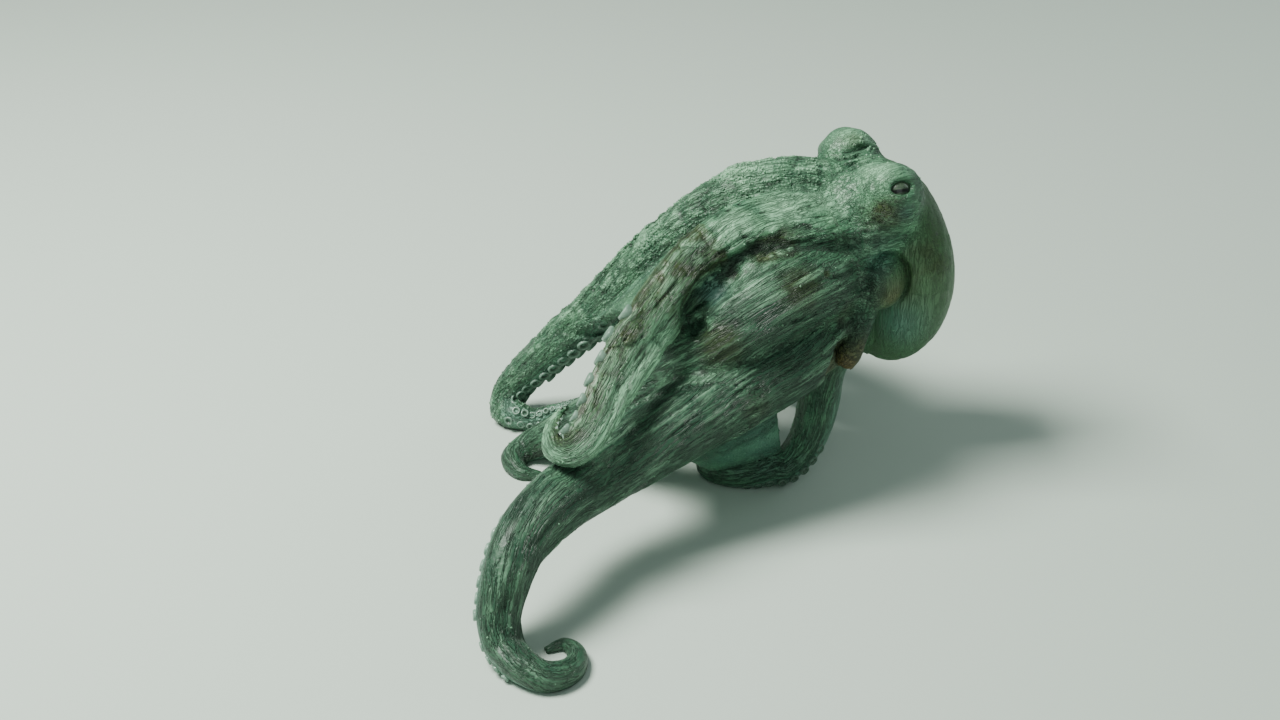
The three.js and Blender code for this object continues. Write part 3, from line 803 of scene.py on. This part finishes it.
# The first left arm is pale along one edge, partly a painted highlight, and brown along the other.
ribbon = places["left1"]
ribbonShare = weights[:, partNames.index("left1")]
paleHighlightEdge = np.clip(0.6 + ribbon["across"] * 1.2, 0, 1) * np.clip((ribbon["share"] - 0.4) * 7, 0, 1)
towardsTip = np.clip((0.9 - ribbon["share"]) * 6, 0.3, 1)
skinMarks["paleAndHighlight"] = np.maximum(skinMarks["paleAndHighlight"], paleHighlightEdge * 0.95 * ribbonShare * towardsTip)
brownEdge = (1 - paleHighlightEdge) * 0.65 * ribbonShare * (ribbon["share"] > 0.3)
skinMarks["brown"] = np.maximum(skinMarks["brown"], brownEdge)
# Wrinkle lines show only where one part's flow holds, and less on the mantle and head.
ranked = np.sort(weights, axis=1)
settled = np.clip((ranked[:, -1] - ranked[:, -2]) * 2.5, 0, 1) * np.clip(2.3 - pick("ring"), 0.1, 1)
settled *= 1 - 0.55 * skinMarks["mantle"] - 0.3 * weights[:, partNames.index("head")]
skinMarks["settled"] = settled
flowMap = pickFlow()
# each part has its own strip of the bake map
strip = (owner + 0.5 + 0.42 * pick("angle") / math.pi) / len(partNames)
rootMap = np.stack([strip, np.clip(along, 0.01, 0.99)], axis=1)


# stores named values on the points of a mesh: single shares, and pairs or triples
def addMarks(mesh, marks, vectors):
    for name, values in marks.items():
        stored = mesh.attributes.new(name, "FLOAT", "POINT")
        stored.data.foreach_set("value", np.asarray(values, np.float32))
    for name, values in vectors.items():
        values = np.asarray(values, np.float32)
        stored = mesh.attributes.new(name, "FLOAT2" if values.shape[1] == 2 else "FLOAT_VECTOR", "POINT")
        stored.data.foreach_set("vector", values.ravel())


def makeMesh(name, points, faces):
    mesh = bpy.data.meshes.new(name)
    mesh.from_pydata(((np.asarray(points) + shift) * mm).tolist(), [], [tuple(f) for f in faces])
    mesh.update()
    return mesh


def makeObject(name, data):
    piece = bpy.data.objects.new(name, data)
    bpy.context.scene.collection.objects.link(piece)
    return piece


# turns a piece with its modifiers into a plain mesh
def bakeModifiers(piece):
    depsgraph = bpy.context.evaluated_depsgraph_get()
    mesh = bpy.data.meshes.new_from_object(piece.evaluated_get(depsgraph), preserve_all_data_layers=True,
                                           depsgraph=depsgraph)
    piece.modifiers.clear()
    old = piece.data
    piece.data = mesh
    bpy.data.meshes.remove(old)
    return mesh


quads = skinQuads if facingOut > 0 else skinQuads[:, ::-1]
skinMesh = makeMesh("skin", skinPoints, quads)
addMarks(skinMesh, skinMarks, {"flow": flowMap, "rootMap": rootMap})
skinMesh.shade_smooth()
skin = makeObject("skin", skinMesh)
mostTriangles = 190000
thin = skin.modifiers.new("thin", "DECIMATE")
thin.ratio = min(1.0, mostTriangles / (2 * len(quads)))
skinMesh = bakeModifiers(skin)
skinMesh.shade_smooth()
print("skin:", len(skinMesh.polygons), "faces,", [a.name for a in skinMesh.attributes])


def colour(hexText, alpha=1.0):
    rgb = [int(hexText[i:i + 2], 16) / 255 for i in (0, 2, 4)]
    return tuple(c / 12.92 if c <= 0.04045 else ((c + 0.055) / 1.055) ** 2.4 for c in rgb) + (alpha,)


# a node with its settings and inputs; an input is given by its name, or as _2 by its number
def addNode(tree, kind, settings=None, **inputs):
    node = tree.nodes.new(kind)
    for key, value in (settings or {}).items():
        setattr(node, key, value)
    for key, value in inputs.items():
        socket = int(key[1:]) if key[0] == "_" else key.replace("_", " ")
        wire(tree, value, node.inputs[socket])
    return node


# a socket takes a link from a socket or node, or a plain value
def wire(tree, value, socket):
    if isinstance(value, bpy.types.NodeSocket):
        tree.links.new(value, socket)
    elif isinstance(value, bpy.types.Node):
        tree.links.new(value.outputs[0], socket)
    else:
        socket.default_value = value


def mathNode(tree, operation, a, b=None, clamp=False):
    node = tree.nodes.new("ShaderNodeMath")
    node.operation = operation
    node.use_clamp = clamp
    wire(tree, a, node.inputs[0])
    if b is not None:
        wire(tree, b, node.inputs[1])
    return node.outputs[0]


def mixColours(tree, share, a, b, blend="MIX"):
    node = tree.nodes.new("ShaderNodeMix")
    node.data_type = "RGBA"
    node.blend_type = blend
    wire(tree, share, node.inputs[0])
    wire(tree, a, node.inputs[6])
    wire(tree, b, node.inputs[7])
    return node.outputs[2]


# 0 at low, 1 at high, smooth between them; low may be the larger
def spread(tree, value, low, high):
    node = tree.nodes.new("ShaderNodeMapRange")
    node.interpolation_type = "SMOOTHSTEP"
    wire(tree, value, node.inputs["Value"])
    node.inputs["From Min"].default_value = low
    node.inputs["From Max"].default_value = high
    return node.outputs[0]


def noiseNode(tree, vector, scale, detail=4.0, roughness=0.55):
    return addNode(tree, "ShaderNodeTexNoise", Vector=vector, Scale=scale, Detail=detail,
                   Roughness=roughness).outputs[0]


def stretchVector(tree, vector, scale):
    node = addNode(tree, "ShaderNodeVectorMath", {"operation": "MULTIPLY"}, _0=vector, _1=scale)
    return node.outputs[0]


def attribute(tree, name, output=2):
    node = tree.nodes.new("ShaderNodeAttribute")
    node.attribute_name = name
    return node.outputs[output]


# a new material with only its shader and output
def newSurface(name):
    material = bpy.data.materials.new(name)
    material.use_nodes = True
    tree = material.node_tree
    tree.nodes.clear()
    shader = tree.nodes.new("ShaderNodeBsdfPrincipled")
    tree.links.new(shader.outputs[0], tree.nodes.new("ShaderNodeOutputMaterial").inputs[0])
    return material, tree, shader


def objectPlace(tree):
    return tree.nodes.new("ShaderNodeTexCoord").outputs["Object"]


# 1 along thin wavy lines that run with the flow of the skin
def wrinkleLines(tree, flow, scale, width):
    noise = addNode(tree, "ShaderNodeTexNoise", Vector=stretchVector(tree, flow, scale), Scale=1.0,
                    Detail=2.0, Roughness=0.55, Distortion=0.15).outputs[0]
    off = mathNode(tree, "ABSOLUTE", mathNode(tree, "SUBTRACT", noise, 0.5))
    return spread(tree, off, width, 0.0)


# Blotches, wrinkles and grains for any skin, and the height of its small creases.
def buildSkinPattern():
    tree = bpy.data.node_groups.new("skinPattern", "ShaderNodeTree")
    for name in ["Place", "Flow"]:
        tree.interface.new_socket(name, in_out="INPUT", socket_type="NodeSocketVector")
    for name in ["Settled", "Rough", "Blotch Scale", "Grain Scale"]:
        tree.interface.new_socket(name, in_out="INPUT", socket_type="NodeSocketFloat")
    for name in ["Blotches", "Patches", "Wrinkles", "Grains", "Height"]:
        tree.interface.new_socket(name, in_out="OUTPUT", socket_type="NodeSocketFloat")
    given = tree.nodes.new("NodeGroupInput").outputs
    result = tree.nodes.new("NodeGroupOutput").inputs
    blotches = noiseNode(tree, given["Place"], given["Blotch Scale"], 5.0, 0.62)
    wire(tree, spread(tree, blotches, 0.36, 0.66), result["Blotches"])
    wide = mathNode(tree, "MULTIPLY", given["Blotch Scale"], 0.32)
    patches = noiseNode(tree, given["Place"], wide, 3.0, 0.5)
    wire(tree, spread(tree, patches, 0.42, 0.64), result["Patches"])
    coarse = wrinkleLines(tree, given["Flow"], (0.26, 0.26, 0.024), 0.042)
    fine = wrinkleLines(tree, given["Flow"], (0.55, 0.55, 0.05), 0.055)
    lines = mathNode(tree, "MAXIMUM", coarse, mathNode(tree, "MULTIPLY", fine, 0.75))
    lines = mathNode(tree, "MULTIPLY", lines, given["Settled"])
    wire(tree, lines, result["Wrinkles"])
    cells = addNode(tree, "ShaderNodeTexVoronoi", {"feature": "F1"}, Vector=given["Place"],
                    Scale=given["Grain Scale"]).outputs[0]
    grains = spread(tree, cells, 0.75, 0.1)
    wire(tree, grains, result["Grains"])
    fineScale = mathNode(tree, "MULTIPLY", given["Grain Scale"], 1.8)
    soft = mathNode(tree, "MULTIPLY", noiseNode(tree, given["Place"], fineScale, 3.0, 0.6), 0.2)
    raised = mathNode(tree, "ADD", mathNode(tree, "MULTIPLY", grains, given["Rough"]), soft)
    sunken = mathNode(tree, "MULTIPLY", lines, 0.8)
    wire(tree, mathNode(tree, "SUBTRACT", raised, sunken), result["Height"])
    return tree


skinPattern = buildSkinPattern()
skinLook = {"dark": "12251a", "middle": "3e6c50", "light": "5f946e", "paleAndHighlight": "b2ecc0", "brown": "384015",
            "oral": "72a08a", "grey": "66988b", "rust": "665425", "mantle": "4b6a42", "shade": "1b3b2c",
            "blotchScale": 75.0, "grainScale": 420.0, "roughness": 0.43, "roughnessVaries": 0.14,
            "bump": 0.9, "bumpDepth": 0.0018, "coat": 0.1, "coatRoughness": 0.3}
# Colours laid over the skin in this order: the mask, how strongly it shows, and the colour.
# Pale ridges are painted highlight; the shade, dark valleys and dark wrinkle lines are painted shade.
skinLayers = [("patches", 0.25, "dark"), ("mantle", 0.75, "mantle"), ("paleAndHighlight", 0.85, "paleAndHighlight"),
              ("brownPatches", 0.9, "brown"), ("shade", 0.85, "shade"), ("grey", 0.55, "grey"),
              ("rust", 0.95, "rust"), ("oral", 0.8, "oral"), ("ridgeHighlights", 0.3, "paleAndHighlight"),
              ("grains", 0.15, "paleAndHighlight"), ("valleyShade", 0.7, "dark"), ("wrinkleShade", 0.6, "dark")]


def buildSkinMaterial():
    look = skinLook
    material, tree, shader = newSurface("moistSkin")
    rough = attribute(tree, "rough")
    crease = attribute(tree, "crease")
    pattern = tree.nodes.new("ShaderNodeGroup")
    pattern.node_tree = skinPattern
    for name, value in [("Place", objectPlace(tree)), ("Flow", attribute(tree, "flow", 1)),
                        ("Settled", attribute(tree, "settled")), ("Rough", rough),
                        ("Blotch Scale", look["blotchScale"]), ("Grain Scale", look["grainScale"])]:
        wire(tree, value, pattern.inputs[name])
    blotches = pattern.outputs["Blotches"]
    masks = {name: attribute(tree, name) for name in ("mantle", "paleAndHighlight", "shade", "grey", "rust", "oral")}
    masks["patches"] = pattern.outputs["Patches"]
    brown = mathNode(tree, "MULTIPLY", attribute(tree, "brown"), 1.6)
    broken = mathNode(tree, "MULTIPLY", blotches, 0.5)
    masks["brownPatches"] = mathNode(tree, "SUBTRACT", brown, broken, clamp=True)
    # painted highlight on the ridges and painted shade in the valleys
    masks["ridgeHighlights"] = spread(tree, crease, 0.65, 1.0)
    masks["grains"] = mathNode(tree, "MULTIPLY", pattern.outputs["Grains"], rough)
    masks["valleyShade"] = spread(tree, crease, 0.4, 0.05)
    # dark wrinkle lines, painted shade in the fine creases
    masks["wrinkleShade"] = pattern.outputs["Wrinkles"]
    tone = mixColours(tree, blotches, colour(look["middle"]), colour(look["light"]))
    for mask, strength, name in skinLayers:
        share = mathNode(tree, "MULTIPLY", masks[mask], strength, clamp=True)
        tone = mixColours(tree, share, tone, colour(look[name]))
    wire(tree, tone, shader.inputs["Base Color"])
    varied = mathNode(tree, "MULTIPLY", blotches, look["roughnessVaries"])
    wire(tree, mathNode(tree, "ADD", varied, look["roughness"]), shader.inputs["Roughness"])
    bump = addNode(tree, "ShaderNodeBump", Strength=look["bump"], Distance=look["bumpDepth"],
                   Height=pattern.outputs["Height"])
    wire(tree, bump, shader.inputs["Normal"])
    shader.inputs["Coat Weight"].default_value = look["coat"]
    shader.inputs["Coat Roughness"].default_value = look["coatRoughness"]
    return material


skinMaterial = buildSkinMaterial()
skinMesh.materials.clear()
skinMesh.materials.append(skinMaterial)


# the rim colour darkens the eyeball's edge as painted shade, and the ring round the slit
eyeLookValues = {"iris": "4d5e4a", "irisDark": "37453a", "rim": "1c2117", "pupil": "030303",
                 "slitWidth": 0.72, "slitHeight": 0.085, "flare": 0.09, "slitDrop": 0.2,
                 "sunk": 0.5, "cornea": 0.05, "roughness": 0.3, "coat": 0.6, "coatRoughness": 0.12}


# a ball just under the lids' skin, with a slight bulge in front
def eyeMesh(side, rings=40, sides=64):
    look, level, rise = eyeAxes(side)
    tilt = np.linspace(0, math.pi, rings)
    angle = np.linspace(0, 2 * math.pi, sides, endpoint=False)
    radius = head["eyeRadius"] - eyeLookValues["sunk"]
    cornea = eyeLookValues["cornea"]
    centre = eyeCentre(side)
    rows = []
    for t in tilt[1:-1]:
        bulge = radius * (1 + cornea * math.exp(-(t / 0.5) ** 2))
        ring = (np.cos(angle)[:, None] * level + np.sin(angle)[:, None] * rise) * math.sin(t)
        rows.append(centre + (ring + look * math.cos(t)) * bulge)
    rows = np.array(rows)
    front = centre + look * radius * (1 + cornea)
    points = np.vstack([rows.reshape(-1, 3), front, centre - look * radius])
    n, m = rows.shape[:2]
    faces = []
    for i in range(n - 1):
        for j in range(m):
            faces.append((i * m + j, (i + 1) * m + j, (i + 1) * m + (j + 1) % m, i * m + (j + 1) % m))
    for j in range(m):
        faces.append((n * m, j, (j + 1) % m))
        faces.append((n * m + 1, (n - 1) * m + (j + 1) % m, (n - 1) * m + j))
    mesh = makeMesh("eye_" + side, points, faces)
    mesh.shade_smooth()
    v = (points - centre) / radius
    addMarks(mesh, {"eyeAcross": v @ level, "eyeUp": v @ rise, "eyeFront": v @ look}, {})
    return mesh


# a level slit pupil that flares at its ends, in a flecked iris with a dark border painted as shade
# towards the lids
def buildEyeMaterial():
    look = eyeLookValues
    material, tree, shader = newSurface("wetEye")
    across = attribute(tree, "eyeAcross")
    up = mathNode(tree, "ADD", attribute(tree, "eyeUp"), look["slitDrop"])
    far = mathNode(tree, "DIVIDE", mathNode(tree, "ABSOLUTE", across), look["slitWidth"])
    flare = mathNode(tree, "MULTIPLY", mathNode(tree, "POWER", far, 2.0), look["flare"])
    tall = mathNode(tree, "ADD", flare, look["slitHeight"])
    inside = mathNode(tree, "SUBTRACT", tall, mathNode(tree, "ABSOLUTE", up))
    ends = mathNode(tree, "SUBTRACT", 1.0, far)
    slit = mathNode(tree, "MULTIPLY", spread(tree, inside, -0.015, 0.015),
                    spread(tree, ends, -0.02, 0.06))
    fleck = spread(tree, noiseNode(tree, objectPlace(tree), 900.0, 4.0, 0.65), 0.42, 0.62)
    tone = mixColours(tree, fleck, colour(look["iris"]), colour(look["irisDark"]))
    lidShade = spread(tree, attribute(tree, "eyeFront"), 0.62, 0.45)
    tone = mixColours(tree, mathNode(tree, "MULTIPLY", lidShade, 0.85), tone, colour(look["rim"]))
    halo = spread(tree, inside, -0.10, -0.02)
    tone = mixColours(tree, mathNode(tree, "MULTIPLY", halo, 0.5), tone, colour(look["rim"]))
    tone = mixColours(tree, slit, tone, colour(look["pupil"]))
    wire(tree, tone, shader.inputs["Base Color"])
    shader.inputs["Roughness"].default_value = look["roughness"]
    shader.inputs["Coat Weight"].default_value = look["coat"]
    shader.inputs["Coat Roughness"].default_value = look["coatRoughness"]
    return material


eyeMaterial = buildEyeMaterial()
eyes = {}
for side in head["mounds"]:
    eyes[side] = makeObject("eyeball_" + side, eyeMesh(side))
    eyes[side].data.materials.append(eyeMaterial)
print("eyes set")


# Two staggered rows of suckers under each arm, smaller towards the tip. Sizes and gaps are shares of the
# arm's radius and of the sucker's own size; a row leans sideways by an angle, and start is along the arm.
suckerSizes = {
    "ofRadius": 0.27, "smallest": 0.9, "usuallyApart": 2.1, "rowAngle": 27.0, "end": 0.985,
    "sink": 0.25, "followSkin": 0.8, "usualShade": 0.1, "sides": 10,
    "apart": {"left1": 2.8},
    "larger": {"left1": 1.5, "right1": 1.15},
    "turned": {"left1": (24.0, 74.0), "left4": (38.0, 38.0)},
    # dark: how much painted shade darkens the suckers of each arm
    "dark": {"left4": 0.85, "left3": 0.35, "left2": 0.35, "left1": 0.55, "right1": 0.45},
    "start": {"left1": 0.5, "right1": 0.12, "left2": 0.12, "left3": 0.2, "left4": 0.12,
              "right2": 0.14, "right3": 0.14, "right4": 0.12}}
# radius and height of the cup's profile, from the stalk over the rim to the middle of the cup
suckerProfile = [(0.72, -0.45), (1.00, 0.40), (0.86, 0.62), (0.58, 0.42), (0.24, -0.05)]


# brings sucker roots onto the skin and drops those that would be buried or under the floor
def settleSuckers(points, out, size):
    slope = slopeAt(flesh, points)
    points = ontoSurface(flesh, points, 2)
    out = unit(out + slope * suckerSizes["followSkin"])
    points = points - out * (size * suckerSizes["sink"])[:, None]
    free = fieldAt(flesh, points + out * size[:, None] * 1.4) > size * 0.6
    above = (points + out * size[:, None])[:, 2] > size * 0.55
    keep = free & above
    return points[keep], out[keep], size[keep]


def suckerPlaces(name):
    s = stations[name]
    sizes = suckerSizes
    leans = sizes["turned"].get(name, (sizes["rowAngle"], sizes["rowAngle"]))
    rows = []
    at = sizes["start"][name] * s["length"]
    sideNow = 1
    while at < s["length"] * sizes["end"]:
        part = at / s["length"]
        lean = math.radians(leans[0] if sideNow > 0 else leans[1])
        read = {k: np.array([np.interp(part, s["share"], s[k][:, i]) for i in range(3)])
                for k in ("middle", "oral", "across")}
        wide, thick = (float(np.interp(part, s["share"], s[k])) for k in ("halfWidth", "halfThickness"))
        usual = sizes["ofRadius"] * sizes["larger"].get(name, 1)
        size = max(sizes["smallest"], usual * (wide + thick) / 2)
        out = read["oral"] * math.cos(lean) + read["across"] * sideNow * math.sin(lean)
        point = (read["middle"] + read["oral"] * thick * armShape["oralFlatness"] * math.cos(lean)
                 + read["across"] * wide * sideNow * math.sin(lean))
        rows.append((point, unit(out), size))
        at += size * sizes["apart"].get(name, sizes["usuallyApart"]) / 2
        sideNow = -sideNow
    return settleSuckers(*(np.array([r[i] for r in rows]) for i in range(3)))


# a small shape turned about its axis, with a round patch of the bake map and how far in each point is
def lathePiece(name, profile, sides):
    total = len(profile)
    patchRadius = 0.48
    points = []
    patch = []
    for i, (radius, height) in enumerate(profile):
        reach = patchRadius * (1 - i / total)
        for k in range(sides):
            angle = 2 * math.pi * k / sides
            points.append((radius * math.cos(angle), radius * math.sin(angle), height))
            patch.append((0.5 + reach * math.cos(angle), 0.5 + reach * math.sin(angle)))
    points.append((0, 0, profile[-1][1] - 0.08))
    patch.append((0.5, 0.5))
    faces = []
    for i in range(total - 1):
        for k in range(sides):
            n = (k + 1) % sides
            faces.append((i * sides + k, i * sides + n, (i + 1) * sides + n, (i + 1) * sides + k))
    for k in range(sides):
        faces.append(((total - 1) * sides + k, (total - 1) * sides + (k + 1) % sides, total * sides))
    mesh = bpy.data.meshes.new(name)
    mesh.from_pydata(points, [], faces)
    mesh.shade_smooth()
    inner = np.append(np.repeat(np.linspace(0, 1, total), sides), 1.0)
    addMarks(mesh, {"inner": inner}, {"patch": np.array(patch)})
    return makeObject(name, mesh)


def namedValue(tree, name, kind):
    node = addNode(tree, "GeometryNodeInputNamedAttribute", {"data_type": kind}, Name=name)
    return node.outputs["Attribute"]


# Sets a shape on each point, joins the copies, and gives each its own patch of the bake map.
def buildScatterTree(name):
    tree = bpy.data.node_groups.new(name, "GeometryNodeTree")
    for label, kind in [("Geometry", "NodeSocketGeometry"), ("Shape", "NodeSocketObject"),
                        ("Size", "NodeSocketFloat"), ("Size Spread", "NodeSocketFloat"),
                        ("Patch Size", "NodeSocketFloat"), ("Seed", "NodeSocketInt"),
                        ("Material", "NodeSocketMaterial")]:
        tree.interface.new_socket(label, in_out="INPUT", socket_type=kind)
    tree.interface.new_socket("Geometry", in_out="OUTPUT", socket_type="NodeSocketGeometry")
    given = tree.nodes.new("NodeGroupInput").outputs
    points = addNode(tree, "GeometryNodeMeshToPoints", Mesh=given["Geometry"])
    shape = addNode(tree, "GeometryNodeObjectInfo", Object=given["Shape"]).outputs["Geometry"]
    upright = addNode(tree, "FunctionNodeAlignRotationToVector", {"axis": "Z"},
                      Vector=namedValue(tree, "look", "FLOAT_VECTOR"))
    spin = addNode(tree, "FunctionNodeRandomValue", {"data_type": "FLOAT"}, _2=0.0, _3=math.tau,
                   Seed=given["Seed"]).outputs[1]
    spun = addNode(tree, "FunctionNodeAxisAngleToRotation", Angle=spin)
    turned = addNode(tree, "FunctionNodeRotateRotation", {"rotation_space": "LOCAL"}, _0=upright, _1=spun)
    least = mathNode(tree, "SUBTRACT", 1.0, given["Size Spread"])
    varied = addNode(tree, "FunctionNodeRandomValue", {"data_type": "FLOAT"}, _2=least, _3=1.0,
                     Seed=given["Seed"]).outputs[1]
    size = mathNode(tree, "MULTIPLY", namedValue(tree, "size", "FLOAT"), given["Size"])
    copies = addNode(tree, "GeometryNodeInstanceOnPoints", Points=points, Instance=shape, Rotation=turned,
                     Scale=mathNode(tree, "MULTIPLY", size, varied))
    joined = addNode(tree, "GeometryNodeRealizeInstances", _0=copies)
    bakePlace = addNode(tree, "ShaderNodeVectorMath", {"operation": "MULTIPLY_ADD"},
                        _0=namedValue(tree, "patch", "FLOAT_VECTOR"), _1=given["Patch Size"],
                        _2=namedValue(tree, "rootMap", "FLOAT_VECTOR"))
    mapped = addNode(tree, "GeometryNodeStoreNamedAttribute", {"data_type": "FLOAT2", "domain": "CORNER"},
                     Geometry=joined, Name="OFBake", Value=bakePlace)
    finished = addNode(tree, "GeometryNodeSetMaterial", Geometry=mapped, Material=given["Material"])
    wire(tree, finished, tree.nodes.new("NodeGroupOutput").inputs[0])
    return tree


scatterTree = buildScatterTree("setOnPoints")


def scatter(name, points, marks, vectors, shape, material, **values):
    mesh = makeMesh(name, points, [])
    addMarks(mesh, marks, vectors)
    piece = makeObject(name, mesh)
    modifier = piece.modifiers.new("set", "NODES")
    modifier.node_group = scatterTree
    usual = {"Shape": shape, "Material": material, "Size": mm, "Size Spread": 0.0, "Patch Size": 0.003,
             "Seed": 5}
    values = dict(usual, **values)
    for item in scatterTree.interface.items_tree:
        if item.in_out == "INPUT" and item.name in values:
            modifier[item.identifier] = values[item.name]
    bakeModifiers(piece)
    piece.data.name = name
    return piece


suckerLook = {"rim": "a9ccb8", "rimDark": "80a591", "cup": "47604f", "stalk": "6f8274", "shade": "38503f",
              "roughness": 0.38, "roughnessVaries": 0.12, "coat": 0.2}


def buildSuckerMaterial():
    look = suckerLook
    material, tree, shader = newSurface("suckerSkin")
    inner = attribute(tree, "inner")
    place = objectPlace(tree)
    fleck = spread(tree, noiseNode(tree, place, 260.0), 0.35, 0.65)
    rim = mixColours(tree, fleck, colour(look["rim"]), colour(look["rimDark"]))
    tone = mixColours(tree, spread(tree, inner, 0.55, 0.9), rim, colour(look["cup"]))
    tone = mixColours(tree, spread(tree, inner, 0.25, 0.0), tone, colour(look["stalk"]))
    tone = mixColours(tree, attribute(tree, "shade"), tone, colour(look["shade"]))
    wire(tree, tone, shader.inputs["Base Color"])
    varied = mathNode(tree, "MULTIPLY", fleck, look["roughnessVaries"])
    wire(tree, mathNode(tree, "ADD", varied, look["roughness"]), shader.inputs["Roughness"])
    bump = addNode(tree, "ShaderNodeBump", Strength=0.3, Distance=0.0005,
                   Height=noiseNode(tree, place, 900.0))
    wire(tree, bump, shader.inputs["Normal"])
    shader.inputs["Coat Weight"].default_value = look["coat"]
    return material


suckerMaterial = buildSuckerMaterial()
suckerShape = lathePiece("suckerShape", suckerProfile, suckerSizes["sides"])
suckers = {}
for side in ("left", "right"):
    rows = {name: suckerPlaces(name) for name in arms if name.startswith(side)}
    points, out, size = (np.concatenate([r[i] for r in rows.values()]) for i in range(3))
    # painted shade on each sucker, set by its arm
    dark = []
    for name, row in rows.items():
        dark += [suckerSizes["dark"].get(name, suckerSizes["usualShade"])] * len(row[0])
    # each sucker has its own square of the bake map
    order = np.arange(len(points))
    columns = int(math.ceil(math.sqrt(len(points))))
    cell = np.stack([order % columns, order // columns], axis=1) / columns
    suckers[side] = scatter("suckers_" + side, points, {"size": size, "shade": dark},
                            {"look": out, "rootMap": cell}, suckerShape, suckerMaterial,
                            **{"Patch Size": 1.0 / columns})
    print("suckers", side, len(points), "faces", len(suckers[side].data.polygons))
bpy.data.objects.remove(suckerShape)


# Papillae are small soft points that stand out of rough skin, larger and closer at a few spikes.
papillaSizes = {"count": 5200, "size": 0.9, "spread": 0.6, "seed": 3, "sides": 6, "leastHeight": 6,
                "spikeLarger": 0.9, "spikeCloser": 4, "highlightLift": 0.2}
papillaProfile = [(1.0, -0.35), (0.82, 0.30), (0.45, 0.72)]
spikes = [((-48, 154, 158), 10, 2.4), ((100, 162, 220), 10, 1.0), ((104, 128, 221), 7, 0.7),
          ((-40, 88, 172), 8, 1.0), ((10, 150, 208), 12, 1.4)]


def papillaRoots():
    count = len(skinPoints)
    rough = skinMarks["rough"] * (1 - skinMarks["oral"]) * np.clip(quietNear(skinPoints), 0, 1)
    chance = rough**2 * np.clip(skinMarks["crease"], 0.2, 1)
    chance = chance * (skinPoints[:, 2] > papillaSizes["leastHeight"])
    near = np.zeros(count)
    for at, reach, strength in spikes:
        d = np.linalg.norm(skinPoints - np.array(at, float), axis=1) / reach
        near = np.maximum(near, strength * np.exp(-(d**2)))
    chance = chance * (1 + near * papillaSizes["spikeCloser"]) + near * 0.05
    chance = chance / chance.sum()
    chosen = rng.choice(count, papillaSizes["count"], replace=False, p=chance)
    return chosen, 1 + near[chosen] * papillaSizes["spikeLarger"]


chosen, scale = papillaRoots()
papillaShape = lathePiece("papillaShape", papillaProfile, papillaSizes["sides"])
papillaMarks = {name: values[chosen] for name, values in skinMarks.items()}
papillaMarks["size"] = scale
# papillae sit higher on the relief's scale, so more painted ridge highlight falls on them
papillaMarks["crease"] = np.clip(papillaMarks["crease"] + papillaSizes["highlightLift"], 0, 1)
papillae = scatter("papillae", skinPoints[chosen], papillaMarks,
                   {"look": outward[chosen], "flow": flowMap[chosen], "rootMap": rootMap[chosen]},
                   papillaShape, skinMaterial,
                   **{"Size": papillaSizes["size"] * mm, "Size Spread": papillaSizes["spread"],
                      "Seed": papillaSizes["seed"]})
bpy.data.objects.remove(papillaShape)
print("papillae", len(chosen), "faces", len(papillae.data.polygons))

# The skin stands for every node of flesh, and each eyeball for its own.
fleshNodes = [n for n in sorted(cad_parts) if not n.startswith("eye_")]
for piece in [skin, papillae, suckers["left"], suckers["right"], eyes["left"], eyes["right"]]:
    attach(piece, "root")
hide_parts(*fleshNodes)
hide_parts("eye_left")
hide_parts("eye_right")


floorLook = {"half": 5.0, "colour": "c9d6cc", "roughness": 0.85}


def buildFloor():
    half = floorLook["half"]
    corners = [(-half, -half, 0), (half, -half, 0), (half, half, 0), (-half, half, 0)]
    mesh = bpy.data.meshes.new("floor")
    mesh.from_pydata(corners, [], [(0, 1, 2, 3)])
    floor = makeObject("floor", mesh)
    material, _, shader = newSurface("paleFloor")
    shader.inputs["Base Color"].default_value = colour(floorLook["colour"])
    shader.inputs["Roughness"].default_value = floorLook["roughness"]
    mesh.materials.append(material)


# soft lamps, in metres and watts, all aimed at the middle of the animal
lampAim = (0.0, 0.0, 0.1)
lamps = {"key": {"at": (-0.95, -0.05, 1.6), "size": 0.7, "power": 64.0, "tint": (0.97, 1.0, 0.93)},
         "fill": {"at": (0.3, -1.6, 1.2), "size": 1.6, "power": 5.0, "tint": (0.86, 1.0, 0.96)},
         "rim": {"at": (1.3, 0.9, 0.9), "size": 1.0, "power": 5.0, "tint": (0.9, 1.0, 1.0)}}


def buildLamp(name, lamp):
    light = bpy.data.lights.new(name, "AREA")
    light.energy = lamp["power"]
    light.size = lamp["size"]
    light.color = lamp["tint"]
    piece = makeObject(name, light)
    piece.location = lamp["at"]
    aim = Vector(lampAim) - piece.location
    piece.rotation_euler = aim.to_track_quat("-Z", "Y").to_euler()


cameraView = {"target": (-51.6, 60.0, 114.3), "distance": 1200.0, "down": 30.0, "focalPixels": 1860.0,
              "pictureWidth": 1280, "sensorWidth": 36.0}


def buildCamera():
    down = math.radians(cameraView["down"])
    ahead = np.array([0, math.cos(down), -math.sin(down)])
    camera = bpy.data.cameras.new("camera")
    camera.sensor_width = cameraView["sensorWidth"]
    camera.lens = cameraView["sensorWidth"] * cameraView["focalPixels"] / cameraView["pictureWidth"]
    camera.clip_start = 0.05
    piece = makeObject("camera", camera)
    piece.location = (np.array(cameraView["target"]) - ahead * cameraView["distance"] + shift) * mm
    piece.rotation_euler = (math.pi / 2 - down, 0, 0)
    bpy.context.scene.camera = piece


worldLook = {"colour": (0.70, 0.88, 0.82, 1), "strength": 0.21}


def buildWorld():
    world = bpy.data.worlds.new("studio")
    world.use_nodes = True
    background = world.node_tree.nodes["Background"]
    background.inputs[0].default_value = worldLook["colour"]
    background.inputs[1].default_value = worldLook["strength"]
    bpy.context.scene.world = world


buildFloor()
for name, lamp in lamps.items():
    buildLamp(name, lamp)
buildCamera()
buildWorld()
print("stage ready")
